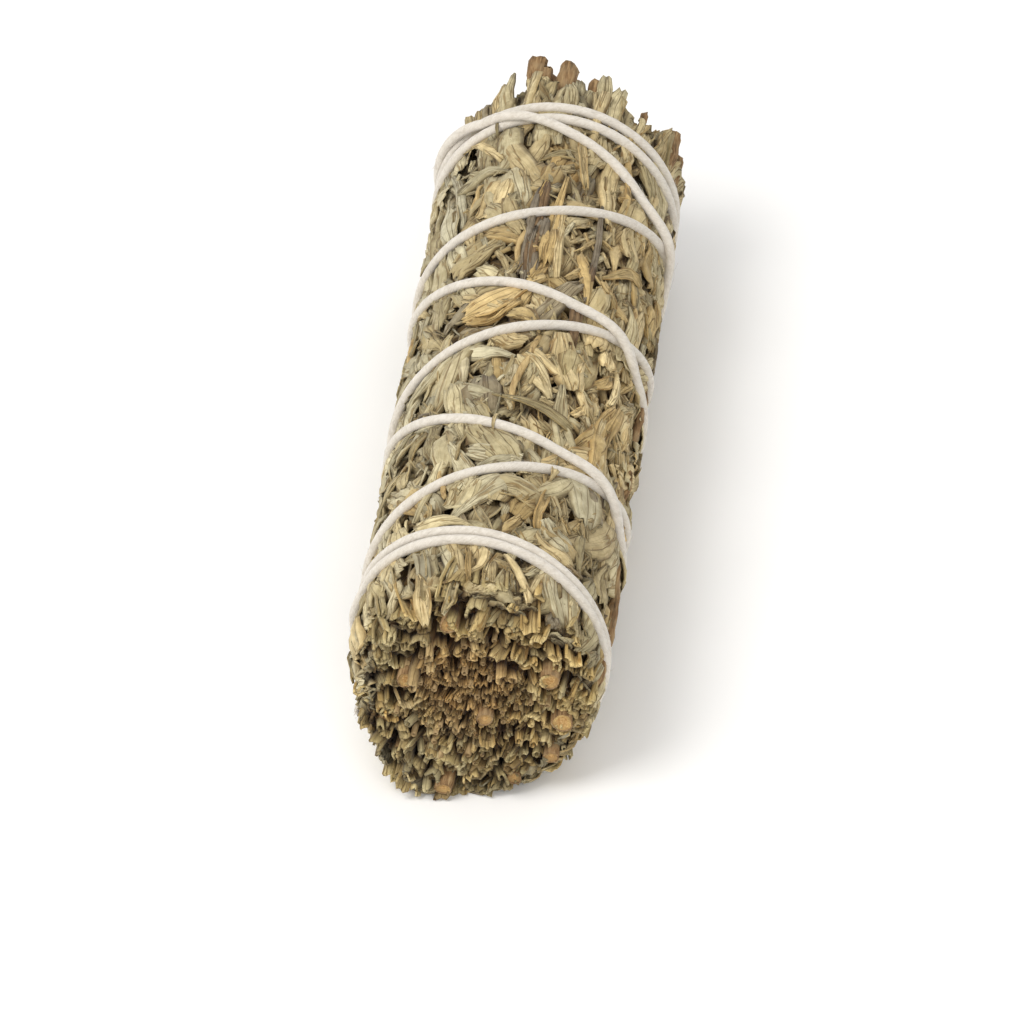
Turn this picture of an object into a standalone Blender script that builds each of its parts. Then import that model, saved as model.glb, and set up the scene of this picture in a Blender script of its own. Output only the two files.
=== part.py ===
"""Sage bunch: leafy sprigs of dried sage laid side by side, trimmed at both ends and wound with cotton string.

Seven sprigs make the bunch, one in the heart and six round it. Each sprig is two pieces: its leaves, pressed
into one springy mass, and the woody stem with a side twig that runs through them. One string is knotted near
the near end, climbs the bunch in open turns, goes round the far end, comes back across itself and is tied off.
The bunch lies on its side. +Y runs from the near end to the far end, +Z is up and Z = 0 is the surface.
"""

import math
import random

import bmesh
import bpy
from mathutils import Matrix, Vector

MM = 0.001

# The bunch
LENGTH = 100 * MM  # of the pressed leaves, without the tips and stems that stand out of the ends
LEAF_RADIUS = 16 * MM  # to the crests of the leaves
ROOT_RADIUS = 14.0 * MM  # within which the leaves at the ends are rooted
HEART_RADIUS = 5.6 * MM  # of the sprig in the middle
AXIS_HEIGHT = 14.5 * MM  # less than the core's radius, so that the underside lies flat
END_FLARE = 0.5 * MM  # the ends spread a little beyond the outermost turns of string
OUTER_SPRIGS = 6
SEAM_GAP = 0.2 * MM  # from the middle of a seam to the leaves on each side of it
FIT_GAP = 0.3 * MM  # round a stem or a string that lies in the leaves

# The leaves: runs of pressed leaves, lobed ones that stand out of them and trimmed ones at the ends
STRIPS_PER_SPRIG = 6
LEAVES_PER_STRIP = 12
EDGE_GAP = 0.14 * MM  # half the width of the wall between neighbouring pressed leaves
LOBED_LEAVES = 5  # at most, on an outer sprig
LOBED_TRIES = 260
LOBED_LENGTH = 7.5 * MM
LOBED_HALF_WIDTH = 1.9 * MM
LOBED_THICKNESS = 0.7 * MM
LOBED_ROOT = 13.4 * MM
LOBED_SEAT = 16.05 * MM
LOBED_CLEARANCE = 2.3 * MM
STRIP_RINGS = (2, 4, 6)  # trimmed leaves at each end of an outer sprig, from the heart outwards
HEART_STRIPS = 10
HEART_CELLS = 10  # lengthwise
STRIP_DEPTH = 3.5 * MM  # how far such a leaf is rooted in the mass
ROOT_FLOOR = 2.2 * MM  # lowest its root comes, over the string

# The string
STRING_RADIUS = 0.65 * MM
STRING_SEAT = 15.75 * MM  # from the bunch's axis to the middle of the string
STRING_TOUCH = 1.5 * MM  # between the middles of two turns that lie against each other
STRING_FLOOR = 0.74 * MM  # lowest the middle of the string comes
STRING_GAP = 0.4 * MM  # between the string and the leaves under it
GROOVE_FLAT = 2.6 * MM  # from the string's middle to where the pressed leaves begin to rise beside it
GROOVE_SLOPE = 0.85
STRING_BRIDGE = 7 * MM  # along the string, from full height on a crossing down to the leaves
POINTS_PER_QUARTER = 6
KNOT_ANGLE = math.radians(215)
STRING_START = -38.5 * MM
STRING_END = -40.1 * MM
TURNS = (  # where each turn lies along the bunch, in mm, at its left, top, right and underside
    (-36.4, -39.1, -42.9, -38.3),
    (-33.2, -26.5, -18.5, -12.0),
    (-5.5, 1.6, 11.0, 16.5),
    (21.3, 25.3, 35.0, 40.4),
    (43.4, 45.1, 43.6, 44.6),
    (46.2, 47.4, 46.4, 47.2),
    (48.0, 43.2, 31.0, 24.0),
    (16.5, 10.0, 3.0, -3.0),
    (-9.0, -18.2, -24.5, -31.0),
    (-37.6, -40.7, -44.5, -42.2),
)

# Each stem: its thickness, then where it leaves the near end and the far end, as degrees round the axis and
# mm out from it, then how far it stands out of each end in mm; and the same for its twig, which leaves one end
STEMS = {
    "heart": ((1.0, (311, 2.6), (120, 2.2), 2.6, 2.2), (0.7, (150, 3.2), "near", 1.4)),
    1: ((1.25, (24, 10.6), (40, 12.2), 2.4, 4.4), (0.85, (18, 12.8), "far", 4.6)),
    2: ((1.15, (104, 12.0), (84, 12.9), 1.2, 6.2), (1.2, (101, 12.8), "far", 7.2)),
    3: ((1.2, (164, 8.6), (150, 11.0), 1.6, 2.6), (0.8, (136, 12.4), "far", 2.4)),
    4: ((0.95, (224, 12.2), (212, 11.2), 3.6, 2.0), (0.75, (205, 12.6), "near", 2.0)),
    5: ((1.1, (256, 12.4), (272, 10.4), 3.8, 2.2), (0.9, (289, 12.4), "near", 3.0)),
    6: ((1.35, (345, 11.6), (331, 10.8), 2.8, 2.6), (0.95, (320, 12.9), "near", 3.4)),
}

LEAF_COLOUR = (0.40, 0.37, 0.24, 1)
STEM_COLOUR = (0.36, 0.22, 0.12, 1)
STRING_COLOUR = (0.86, 0.83, 0.77, 1)


def smooth_step(low, high, value):
    share = min(1.0, max(0.0, (value - low) / (high - low)))
    return share * share * (3 - 2 * share)


def place(radius, angle, along):
    """A point of the bunch, from its distance to the axis, its angle round it and its place along it."""
    return Vector((radius * math.cos(angle), along, AXIS_HEIGHT + radius * math.sin(angle)))


def material(name, colour, roughness):
    made = bpy.data.materials.new(name)
    made.use_nodes = True
    shader = made.node_tree.nodes["Principled BSDF"]
    shader.inputs["Base Color"].default_value = colour
    shader.inputs["Roughness"].default_value = roughness
    shader.inputs["Metallic"].default_value = 0.0
    return made


def link(name, mesh, collection):
    obj = bpy.data.objects.new(name, mesh)
    collection.objects.link(obj)
    return obj


def new_collection(name):
    made = bpy.data.collections.new(name)
    bpy.context.scene.collection.children.link(made)
    return made


def remove_collection(collection):
    for obj in list(collection.objects):
        bpy.data.objects.remove(obj)
    bpy.data.collections.remove(collection)


def combine(obj, operation, other):
    """Joins, cuts or clips obj with an object or a whole collection, and applies the result."""
    modifier = obj.modifiers.new("combine", "BOOLEAN")
    modifier.operation = operation
    modifier.solver = "MANIFOLD"
    if isinstance(other, bpy.types.Collection):
        modifier.operand_type = "COLLECTION"
        modifier.collection = other
    else:
        modifier.object = other
    graph = bpy.context.evaluated_depsgraph_get()
    result = bpy.data.meshes.new_from_object(obj.evaluated_get(graph))
    obj.modifiers.clear()
    obj.data = result


def drop_scraps(obj):
    """Keeps the largest connected piece of a mesh, where a cut has left crumbs beside it."""
    bm = bmesh.new()
    bm.from_mesh(obj.data)
    seen = set()
    islands = []
    for start in bm.verts:
        if start in seen:
            continue
        island = {start}
        edge_of_search = [start]
        while edge_of_search:
            vertex = edge_of_search.pop()
            for edge in vertex.link_edges:
                other = edge.other_vert(vertex)
                if other not in island:
                    island.add(other)
                    edge_of_search.append(other)
        seen |= island
        islands.append(island)
    largest = max(islands, key=len)
    bmesh.ops.delete(bm, geom=[v for v in bm.verts if v not in largest], context="VERTS")
    bm.to_mesh(obj.data)
    bm.free()


# The seams between sprigs and the surface that their leaves make


def seam_angle(seam, along):
    """Where the seam between two outer sprigs runs: lengthwise, wandering and twisted a little."""
    turn = math.radians(7) * along / LENGTH
    wander = math.radians(3.2) * math.sin(along / (13 * MM) + 2.1 * (seam % OUTER_SPRIGS))
    return 2 * math.pi * seam / OUTER_SPRIGS + turn + wander


def end_flare(along):
    """The ends spread a little beyond the outermost turns of string."""
    return END_FLARE * smooth_step(0.44 * LENGTH, 0.5 * LENGTH, abs(along))


def pressed(radius, angle, along, route):
    """Presses a leaf's height down under the string, in its groove, and flat where the bunch lies."""
    nearest = min(route, key=lambda mark: flat_distance(mark[0], (angle, along)))
    distance = flat_distance(nearest[0], (angle, along))
    groove = nearest[1] - STRING_RADIUS - STRING_GAP
    radius = min(radius, groove + GROOVE_SLOPE * max(0, distance - GROOVE_FLAT))
    down = -math.sin(angle)
    if down > 0:
        radius = min(radius, AXIS_HEIGHT / down)
    return radius


def string_route():
    """Places of the string and its tails on the bunch, with the distance of their middle from the axis there."""
    route = []
    for points in (string_path(), tail_path(-1), tail_path(1)):
        for start, stop in zip(points, points[1:]):
            for share in (0, 0.25, 0.5, 0.75):
                point = start.lerp(stop, share)
                up = point.z - AXIS_HEIGHT
                route.append(((math.atan2(up, point.x), point.y), min(math.hypot(point.x, up), STRING_SEAT)))
    return route


def block(across, lengthwise):
    """A two-metre cube cut into cells, lengthwise all round and across on its outer side only."""
    bm = bmesh.new()
    bmesh.ops.create_cube(bm, size=2)
    long_edges = [e for e in bm.edges if abs(e.verts[1].co.y - e.verts[0].co.y) > 1.9]
    bmesh.ops.subdivide_edges(bm, edges=long_edges, cuts=lengthwise - 1, use_grid_fill=True)
    outer = [e for e in bm.edges if min(v.co.z for v in e.verts) > 0.9 and abs(e.verts[1].co.x - e.verts[0].co.x) > 1.9]
    bmesh.ops.subdivide_edges(bm, edges=outer, cuts=across - 1, use_grid_fill=True)
    return bm


class LeafStrip:
    """A lengthwise run of pressed leaves, each lying with its tip over the root of the next."""

    def __init__(self, draw):
        self.lean = draw.uniform(-0.45, 0.45) * MM
        phase = draw.uniform(-0.5, 0.5)
        step = LENGTH / LEAVES_PER_STRIP
        inner = [-LENGTH / 2 + step * (i + 0.5 * phase + draw.uniform(-0.2, 0.2)) for i in range(1, LEAVES_PER_STRIP)]
        self.ends = [-LENGTH / 2, *inner, LENGTH / 2]
        self.slants = [0, *(draw.uniform(-0.9, 0.9) * MM for _ in inner), 0]
        self.facing = 1 if draw.random() < 0.7 else -1
        self.heights = [
            (draw.uniform(14.5, 15.0) * MM, draw.uniform(15.1, 15.7) * MM, draw.uniform(15.4, 16.0) * MM)
            for _ in range(LEAVES_PER_STRIP)
        ]

    def corner(self, row, side):
        """Where one corner of a leaf lies along the bunch and how far out.

        A leaf has three rows of corners: its two ends and its middle. side is -1 or 1.
        """
        leaf, station = divmod(row, 3)
        low = self.ends[leaf] + self.slants[leaf] * side + (EDGE_GAP if leaf else 0)
        last = leaf == LEAVES_PER_STRIP - 1
        high = self.ends[leaf + 1] + self.slants[leaf + 1] * side - (0 if last else EDGE_GAP)
        along = low + (high - low) * station / 2
        height = self.heights[leaf][station if self.facing > 0 else 2 - station]
        return along, height + side * self.lean


def sprig_mass(seam, draw, route):
    """The pressed leaves of one outer sprig, a wedge between two seams with leaf strips on its outside."""
    columns = 2 * STRIPS_PER_SPRIG
    rows = 3 * LEAVES_PER_STRIP
    bm = block(columns - 1, rows - 1)
    strips = [LeafStrip(draw) for _ in range(STRIPS_PER_SPRIG)]
    for vertex in bm.verts:
        u, v, w = vertex.co
        column = round((u + 1) / 2 * (columns - 1))
        row = round((v + 1) / 2 * (rows - 1))
        strip, right = divmod(column, 2)
        along, radius = strips[strip].corner(row, 1 if right else -1)
        if w < 0:
            radius = HEART_RADIUS + SEAM_GAP
        margin = SEAM_GAP / radius
        low = seam_angle(seam, along) + margin
        high = seam_angle(seam + 1, along) - margin
        if column in (0, columns - 1):
            angle = low if column == 0 else high
        else:
            stray = 0.4 * MM * math.sin(along / (2.6 * MM) + 2.3 * (strip + right))
            angle = low + (high - low) / STRIPS_PER_SPRIG * (strip + right)
            angle += (stray + (-EDGE_GAP if right else EDGE_GAP)) / LEAF_RADIUS
        if w > 0:
            radius = pressed(radius + end_flare(along), angle, along, route)
        vertex.co = place(radius, angle, along)
    bmesh.ops.triangulate(bm, faces=bm.faces, quad_method="SHORT_EDGE")
    bmesh.ops.recalc_face_normals(bm, faces=bm.faces)
    return mesh_from(bm, "mass")


def mesh_from(bm, name):
    mesh = bpy.data.meshes.new(name)
    bm.to_mesh(mesh)
    bm.free()
    return mesh


def heart_mass():
    """The middle sprig's pressed mass, a six-sided column whose corners follow the seams."""
    bm = bmesh.new()
    turn = Matrix.Rotation(math.radians(90), 4, "X")
    bmesh.ops.create_cone(bm, cap_ends=True, segments=OUTER_SPRIGS, radius1=1, radius2=1, depth=2, matrix=turn)
    for cut in range(1, HEART_CELLS):
        everything = list(bm.verts) + list(bm.edges) + list(bm.faces)
        level = Vector((0, 2 * cut / HEART_CELLS - 1, 0))
        bmesh.ops.bisect_plane(bm, geom=everything, plane_co=level, plane_no=(0, 1, 0))
    for vertex in bm.verts:
        seam = round(math.atan2(vertex.co.z, vertex.co.x) / (2 * math.pi) * OUTER_SPRIGS - 0.01)
        along = vertex.co.y * LENGTH / 2
        vertex.co = place(HEART_RADIUS - SEAM_GAP, seam_angle(seam % OUTER_SPRIGS, along), along)
    bmesh.ops.triangulate(bm, faces=bm.faces)
    bmesh.ops.recalc_face_normals(bm, faces=bm.faces)
    return mesh_from(bm, "heart")


# The leaves that stand out


def blade(rings, tip, sides):
    """A blade along +Y, one unit long and one to each side, with three sides and a keel or with four sides.

    A ring gives where its edges lie, how wide they are, where its keel or top lies and how high that is.
    """
    bm = bmesh.new()
    bmesh.ops.create_cone(bm, cap_ends=True, segments=sides, radius1=1, radius2=0 if tip else 1, depth=1)
    steps = len(rings) if tip else len(rings) - 1
    for step in range(1, steps):
        level = Vector((0, 0, step / steps - 0.5))
        everything = list(bm.verts) + list(bm.edges) + list(bm.faces)
        bmesh.ops.bisect_plane(bm, geom=everything, plane_co=level, plane_no=(0, 0, 1))
    for vertex in bm.verts:
        step = round((vertex.co.z + 0.5) * steps)
        if step == len(rings):
            vertex.co = (0, tip, 0)
            continue
        edge_along, half_width, keel_along, keel_height = rings[step]
        if abs(vertex.co.x) > 1e-4:
            vertex.co = (math.copysign(half_width, vertex.co.x), edge_along, 0)
        elif vertex.co.y > 0:
            vertex.co = (0, keel_along, keel_height)
        else:
            vertex.co = (0, edge_along, -1)
    bmesh.ops.triangulate(bm, faces=bm.faces)
    bmesh.ops.recalc_face_normals(bm, faces=bm.faces)
    return mesh_from(bm, "blade")


def lobed_leaf():
    """Wedge-shaped, with a blunt tooth on each side of the tip."""
    rings = ((0, 0.34, 0, 0.2), (0.42, 0.62, 0.42, 0.8), (0.88, 1.0, 0.76, 1.0), (0.83, 0.42, 0.88, 0.75))
    return blade(rings, 1.06, 4)


def trimmed_strip():
    """A folded leaf cut straight across at its outer end."""
    return blade(((0, 0.8, 0, 0.8), (1, 1.0, 0.94, 1.0)), None, 3)


def face_outwards(mesh):
    bm = bmesh.new()
    bm.from_mesh(mesh)
    bmesh.ops.recalc_face_normals(bm, faces=bm.faces)
    bm.to_mesh(mesh)
    bm.free()


def standing_leaf(template, draw, angle, along, heading):
    """Bends a copy of the template round the bunch, with its middle rooted in the leaves under it."""
    mesh = template.copy()
    length = LOBED_LENGTH * draw.uniform(0.85, 1.15)
    half_width = LOBED_HALF_WIDTH * draw.uniform(0.85, 1.15)
    for vertex in mesh.vertices:
        x, y, z = vertex.co
        across = x * half_width
        ahead = (y - 0.5) * length
        round_bunch = across * math.cos(heading) + ahead * math.sin(heading)
        lengthwise = ahead * math.cos(heading) - across * math.sin(heading)
        radius = LOBED_ROOT if z < 0 else LOBED_SEAT + z * LOBED_THICKNESS
        vertex.co = place(radius, angle + round_bunch / LEAF_RADIUS, along + lengthwise)
    face_outwards(mesh)
    return mesh


def clear_of_string(mesh, route):
    """True if no corner of a leaf comes near the string or the surface that the bunch lies on."""
    for vertex in mesh.vertices:
        across = vertex.co.x
        up = vertex.co.z - AXIS_HEIGHT
        spot = (math.atan2(up, across), vertex.co.y)
        if vertex.co.z < 0.5 * MM or min(flat_distance(mark[0], spot) for mark in route) < LOBED_CLEARANCE:
            return False
    return True


def inside_seams(mesh, seam):
    for vertex in mesh.vertices:
        angle = math.atan2(vertex.co.z - AXIS_HEIGHT, vertex.co.x)
        low = seam_angle(seam, vertex.co.y)
        high = seam_angle(seam + 1, vertex.co.y)
        if not 0.3 * MM / LEAF_RADIUS < (angle - low) % (2 * math.pi) < high - low - 0.3 * MM / LEAF_RADIUS:
            return False
    return True


def leaves_on_side(collection, seam, draw, route):
    """Lobed leaves that stand out of one outer sprig, wherever the string leaves them room."""
    template = lobed_leaf()
    kept = []
    for _ in range(LOBED_TRIES):
        along = draw.uniform(-0.44, 0.44) * LENGTH
        angle = seam_angle(seam, along) + draw.uniform(0.2, 0.8) * 2 * math.pi / OUTER_SPRIGS
        heading = math.radians(draw.gauss(0, 35)) + (math.pi if draw.random() < 0.3 else 0)
        mesh = standing_leaf(template, draw, angle, along, heading)
        crowded = any(flat_distance((angle, along), other) < 1.1 * LOBED_LENGTH for other in kept)
        if not crowded and len(kept) < LOBED_LEAVES and inside_seams(mesh, seam) and clear_of_string(mesh, route):
            kept.append((angle, along))
            link("leaf", mesh, collection)
        else:
            bpy.data.meshes.remove(mesh)


def strip_at_end(template, collection, draw, radius, angle, end, bounds):
    """A trimmed leaf that stands out of an end: end is -1 at the near end and 1 at the far end.

    bounds gives the lowest and highest angle and radius that the leaf may reach.
    """
    mesh = template.copy()
    reach = draw.uniform(0.5, 3.6) * MM
    half_width = draw.uniform(0.85, 1.4) * MM
    thickness = draw.uniform(0.85, 1.25) * MM
    fan = draw.uniform(-0.05, 0.2)
    turn = angle + math.pi / 2 + draw.gauss(0, 0.5)
    root = end * (LENGTH / 2 - STRIP_DEPTH)
    low, high, least, most = bounds
    inset = draw.uniform(0.1, 0.35) * MM
    for vertex in mesh.vertices:
        x, y, z = vertex.co
        flat_x = x * half_width
        flat_z = (z - 0.5) * thickness
        out = y * (STRIP_DEPTH + reach)
        far = radius + fan * out
        off_x = far * math.cos(angle) + flat_x * math.cos(turn) - flat_z * math.sin(turn)
        off_z = far * math.sin(angle) + flat_x * math.sin(turn) + flat_z * math.cos(turn)
        around = math.atan2(off_z, off_x)
        around = angle + (around - angle + math.pi) % (2 * math.pi) - math.pi
        distance = min(max(math.hypot(off_x, off_z), least + inset), (most if y > 0.5 else ROOT_RADIUS) - inset)
        margin = (SEAM_GAP + inset) / distance
        around = min(max(around, low + margin), high - margin)
        vertex.co = place(distance, around, root + end * out)
        vertex.co.z = max(vertex.co.z, 0.5 * MM if y > 0.5 else ROOT_FLOOR)
    face_outwards(mesh)
    link("strip", mesh, collection)


def strips_on_outer_ends(collection, seam, draw):
    template = trimmed_strip()
    for end in (-1, 1):
        stretch = [end * (LENGTH / 2 + past) for past in (-STRIP_DEPTH, 0, 4 * MM)]
        low = max(seam_angle(seam, along) for along in stretch)
        high = min(seam_angle(seam + 1, along) for along in stretch)
        bounds = (low, high, HEART_RADIUS + SEAM_GAP, LEAF_RADIUS)
        for ring, count in enumerate(STRIP_RINGS):
            radius = HEART_RADIUS + (ring + 0.55) * (ROOT_RADIUS - HEART_RADIUS) / len(STRIP_RINGS)
            for i in range(count):
                share = (i + 0.5 + draw.uniform(-0.16, 0.16)) / count
                angle = low + share * (high - low)
                room_below = (AXIS_HEIGHT - ROOT_FLOOR - 1.3 * MM) / max(-math.sin(angle), 0.5)
                strip_at_end(template, collection, draw, min(radius, room_below), angle, end, bounds)


def strips_on_heart_ends(collection, draw):
    template = trimmed_strip()
    for end in (-1, 1):
        for i in range(HEART_STRIPS):
            radius = (HEART_RADIUS - 1.5 * MM) * math.sqrt((i + 0.4) / HEART_STRIPS)
            angle = 2.399963 * i
            bounds = (angle - 3, angle + 3, 0.2 * MM, HEART_RADIUS - SEAM_GAP)
            strip_at_end(template, collection, draw, radius, angle, end, bounds)


# The string


def string_stations():
    """Angles round the bunch and places along it of the string, from the knot and back to it."""
    quarter = math.pi / 2
    marks = [(KNOT_ANGLE, STRING_START)]
    angle = math.pi
    for turn in TURNS:
        for along in turn:
            marks.append((angle, along * MM))
            angle -= quarter
    marks.append((KNOT_ANGLE - 2 * math.pi * len(TURNS), STRING_END))
    # Catmull-Rom through the marks, with even steps between quarters
    stations = []
    for i in range(len(marks) - 1):
        before = marks[max(i - 1, 0)]
        start = marks[i]
        stop = marks[i + 1]
        after = marks[min(i + 2, len(marks) - 1)]
        span = start[0] - stop[0]
        slope_in = (stop[1] - before[1]) / (before[0] - stop[0])
        slope_out = (after[1] - start[1]) / (start[0] - after[0])
        steps = max(2, round(POINTS_PER_QUARTER * span / quarter))
        for step in range(steps):
            t = step / steps
            a = 2 * t**3 - 3 * t**2 + 1
            b = t**3 - 2 * t**2 + t
            c = 3 * t**2 - 2 * t**3
            d = t**3 - t**2
            along = a * start[1] + b * span * slope_in + c * stop[1] + d * span * slope_out
            stations.append((start[0] - span * t, along))
    stations.append(marks[-1])
    return stations


def flat_distance(first, second):
    """Distance between two places on the bunch's surface, measured along the surface."""
    turn = (first[0] - second[0] + math.pi) % (2 * math.pi) - math.pi
    return math.hypot(turn * STRING_SEAT, first[1] - second[1])


def gap_between(first, second):
    """The least distance, along the surface, between two short stretches of string."""
    shares = (0, 0.25, 0.5, 0.75, 1)
    least = math.inf
    for s in shares:
        here = (first[0][0] + s * (first[1][0] - first[0][0]), first[0][1] + s * (first[1][1] - first[0][1]))
        for t in shares:
            there = (second[0][0] + t * (second[1][0] - second[0][0]), second[0][1] + t * (second[1][1] - second[0][1]))
            least = min(least, flat_distance(here, there))
    return least


def string_crossings(stations):
    """Pairs of stretches, a later and an earlier one, that come too near each other to lie side by side."""
    found = []
    reach = STRING_TOUCH + flat_distance(stations[10], stations[11])
    for later in range(3 * POINTS_PER_QUARTER, len(stations) - 1):
        for earlier in range(later - 3 * POINTS_PER_QUARTER):
            if flat_distance(stations[later], stations[earlier]) < 1.6 * reach:
                gap = gap_between(stations[later : later + 2], stations[earlier : earlier + 2])
                if gap < STRING_TOUCH:
                    found.append((later, earlier, math.sqrt(STRING_TOUCH**2 - gap**2)))
    return found


def string_lifts(stations):
    """How far each station is raised, so that a later turn bridges the earlier turns that it crosses."""
    crossings = string_crossings(stations)
    lifts = [0.0] * len(stations)
    step = flat_distance(stations[10], stations[11])
    reach = math.ceil(STRING_BRIDGE / step)
    for _ in range(3):
        needed = [0.0] * len(stations)
        for later, earlier, rise in crossings:
            under = max(lifts[earlier], lifts[earlier + 1])
            for end in (later, later + 1):
                needed[end] = max(needed[end], under + rise)
        for i in range(len(stations)):
            around = range(max(0, i - reach), min(len(stations), i + reach + 1))
            lifts[i] = max(needed[k] * (1 - smooth_step(0, STRING_BRIDGE, abs(i - k) * step)) for k in around)
    return lifts


def string_path():
    """The middle line of the string, seated in the leaves, bridging itself and pressed flat underneath."""
    stations = string_stations()
    points = []
    for (angle, along), lift in zip(stations, string_lifts(stations)):
        point = place(STRING_SEAT + lift, angle, along)
        above = point.z - STRING_FLOOR
        blend = 0.5 * MM
        point.z = STRING_FLOOR + (above + math.sqrt(above**2 + blend**2)) / 2
        points.append(point)
    return points


def tube(name, points, radius, sides, collection, radii=None):
    """A closed tube along the points, as a mesh: radii may thin or thicken it from point to point."""
    curve = bpy.data.curves.new(name, "CURVE")
    curve.dimensions = "3D"
    curve.bevel_depth = radius
    curve.bevel_resolution = (sides - 4) // 2
    curve.use_fill_caps = True
    spline = curve.splines.new("POLY")
    spline.points.add(len(points) - 1)
    for i, point in enumerate(points):
        spline.points[i].co = (*point, 1)
        spline.points[i].radius = radii[i] if radii else 1
    holder = link(name + "_line", curve, collection)
    graph = bpy.context.evaluated_depsgraph_get()
    mesh = bpy.data.meshes.new_from_object(holder.evaluated_get(graph))
    bpy.data.objects.remove(holder)
    bm = bmesh.new()
    bm.from_mesh(mesh)
    bmesh.ops.remove_doubles(bm, verts=bm.verts, dist=0.01 * MM)
    bmesh.ops.recalc_face_normals(bm, faces=bm.faces)
    bm.to_mesh(mesh)
    bm.free()
    return link(name, mesh, collection)


def tail_path(side):
    """One of the string's two short ends, from the knot along the leaves: side is -1 or 1."""
    middle = (STRING_START + STRING_END) / 2
    drift = 0.5 if side < 0 else 0.9
    points = []
    for step, height in enumerate((0.85, 1.25, 1.35, 1.1, 0.5, 0.1)):
        angle = KNOT_ANGLE + (0.6 + drift * 0.84 * step) * MM * side / LEAF_RADIUS
        points.append(place(STRING_SEAT + height * MM, angle, middle + side * (0.9 + 1.7 * step) * MM))
    return points


def knot_pieces(collection):
    """A small flat knot over the string's two ends, with two short tails that lie along the leaves."""
    middle = (STRING_START + STRING_END) / 2
    bm = bmesh.new()
    bmesh.ops.create_uvsphere(bm, u_segments=10, v_segments=6, radius=1)
    for vertex in bm.verts:
        x, y, z = vertex.co
        radius = STRING_SEAT + (0.75 + 1.05 * z) * MM
        vertex.co = place(radius, KNOT_ANGLE + 1.9 * MM * x / LEAF_RADIUS, middle + 1.75 * MM * y)
    bmesh.ops.recalc_face_normals(bm, faces=bm.faces)
    link("knot", mesh_from(bm, "knot"), collection)
    for side in (-1, 1):
        tube("tail", tail_path(side), STRING_RADIUS, 6, collection, radii=(1, 1, 1, 1, 1.05, 1.15))


def wound_string(collection):
    string = tube("binding_string", string_path(), STRING_RADIUS, 6, collection)
    extras = new_collection("knot pieces")
    knot_pieces(extras)
    combine(string, "UNION", extras)
    remove_collection(extras)
    drop_scraps(string)
    return string


# The stems


def stem_points(near, far, near_reach, far_reach):
    """A gently bent line through the bunch, with the places in mm and degrees that STEMS gives."""
    inner_limit = 10.4
    points = []
    shares = (0, 0.12, 0.35, 0.65, 0.88, 1)
    for i, share in enumerate(shares):
        angle = math.radians(near[0] + (far[0] - near[0]) * share)
        radius = near[1] + (far[1] - near[1]) * share
        if 0 < i < len(shares) - 1:
            radius = min(radius, inner_limit)
        along = -LENGTH / 2 - near_reach * MM + (LENGTH + (near_reach + far_reach) * MM) * share
        points.append(place(radius * MM, angle, along))
    return points


def stem_lines(key):
    """The points of a sprig's stem and of the twig that grows out of it."""
    (thick, near, far, near_reach, far_reach), (thin, twig_end, side, twig_reach) = STEMS[key]
    if key == "heart":
        far = (near[0] - 191, far[1])
    stem = stem_points(near, far, near_reach, far_reach)
    end = 1 if side == "far" else -1
    fork = stem[3] if end > 0 else stem[2]
    tip = place(twig_end[1] * MM, math.radians(twig_end[0]), end * (LENGTH / 2 + twig_reach * MM))
    bend = fork.lerp(tip, 0.5)
    bend.x += 0.15 * (tip.x - fork.x)
    bend.z += 0.15 * (tip.z - fork.z)
    return (stem, thick * MM), ((fork, bend, tip), thin * MM)


def carry_on(start, stop, past):
    """The point that far past the end of a line."""
    return stop + (stop - start).normalized() * past


def stem_with_twig(name, key, extra, sides, past, collection):
    """A stem and its twig in one piece. extra thickens both, and past lengthens both, for the hole they lie in."""
    (stem, thick), (twig, thin) = stem_lines(key)
    slim = 1 - 0.22 * (thick - 0.9 * MM) / MM
    radii = [1, 0.97, 1, 0.94, slim, slim]
    twig_radii = [1, 1, 1]
    if past:
        stem = [carry_on(stem[1], stem[0], past), *stem, carry_on(stem[-2], stem[-1], past)]
        twig = [*twig, carry_on(twig[-2], twig[-1], past)]
        radii = [radii[0], *radii, radii[-1]]
        twig_radii.append(1)
    whole = [(thick * r + extra) / (thick + extra) for r in radii]
    obj = tube(name, stem, thick + extra, sides, collection, radii=whole)
    branch = tube("twig", twig, thin + extra, sides, collection, radii=twig_radii)
    combine(obj, "UNION", branch)
    bpy.data.objects.remove(branch)
    return obj


# The sprigs


def bore_for_stem(obj, key):
    """Cuts the stem's hole out of a sprig's leaves."""
    holes = new_collection("holes")
    hole = stem_with_twig("hole", key, FIT_GAP, 8, 12 * MM, holes)
    combine(obj, "DIFFERENCE", hole)
    remove_collection(holes)
    drop_scraps(obj)


def outer_leaves(number, route, collection):
    """The leaves of one outer sprig: the pressed mass with leaves on its outside and its two ends."""
    draw = random.Random(40 + number)
    seam = number - 1
    obj = link(f"sprig_{number}_leaves", sprig_mass(seam, draw, route), collection)
    blades = new_collection("blades")
    leaves_on_side(blades, seam, draw, route)
    strips_on_outer_ends(blades, seam, draw)
    combine(obj, "UNION", blades)
    remove_collection(blades)
    bore_for_stem(obj, number)
    return obj


def heart_leaves(collection):
    draw = random.Random(40)
    obj = link("sprig_heart_leaves", heart_mass(), collection)
    blades = new_collection("blades")
    strips_on_heart_ends(blades, draw)
    combine(obj, "UNION", blades)
    remove_collection(blades)
    bore_for_stem(obj, "heart")
    return obj


def paint(obj, finish):
    obj.data.materials.clear()
    obj.data.materials.append(finish)
    obj.data.polygons.foreach_set("material_index", [0] * len(obj.data.polygons))


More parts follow.
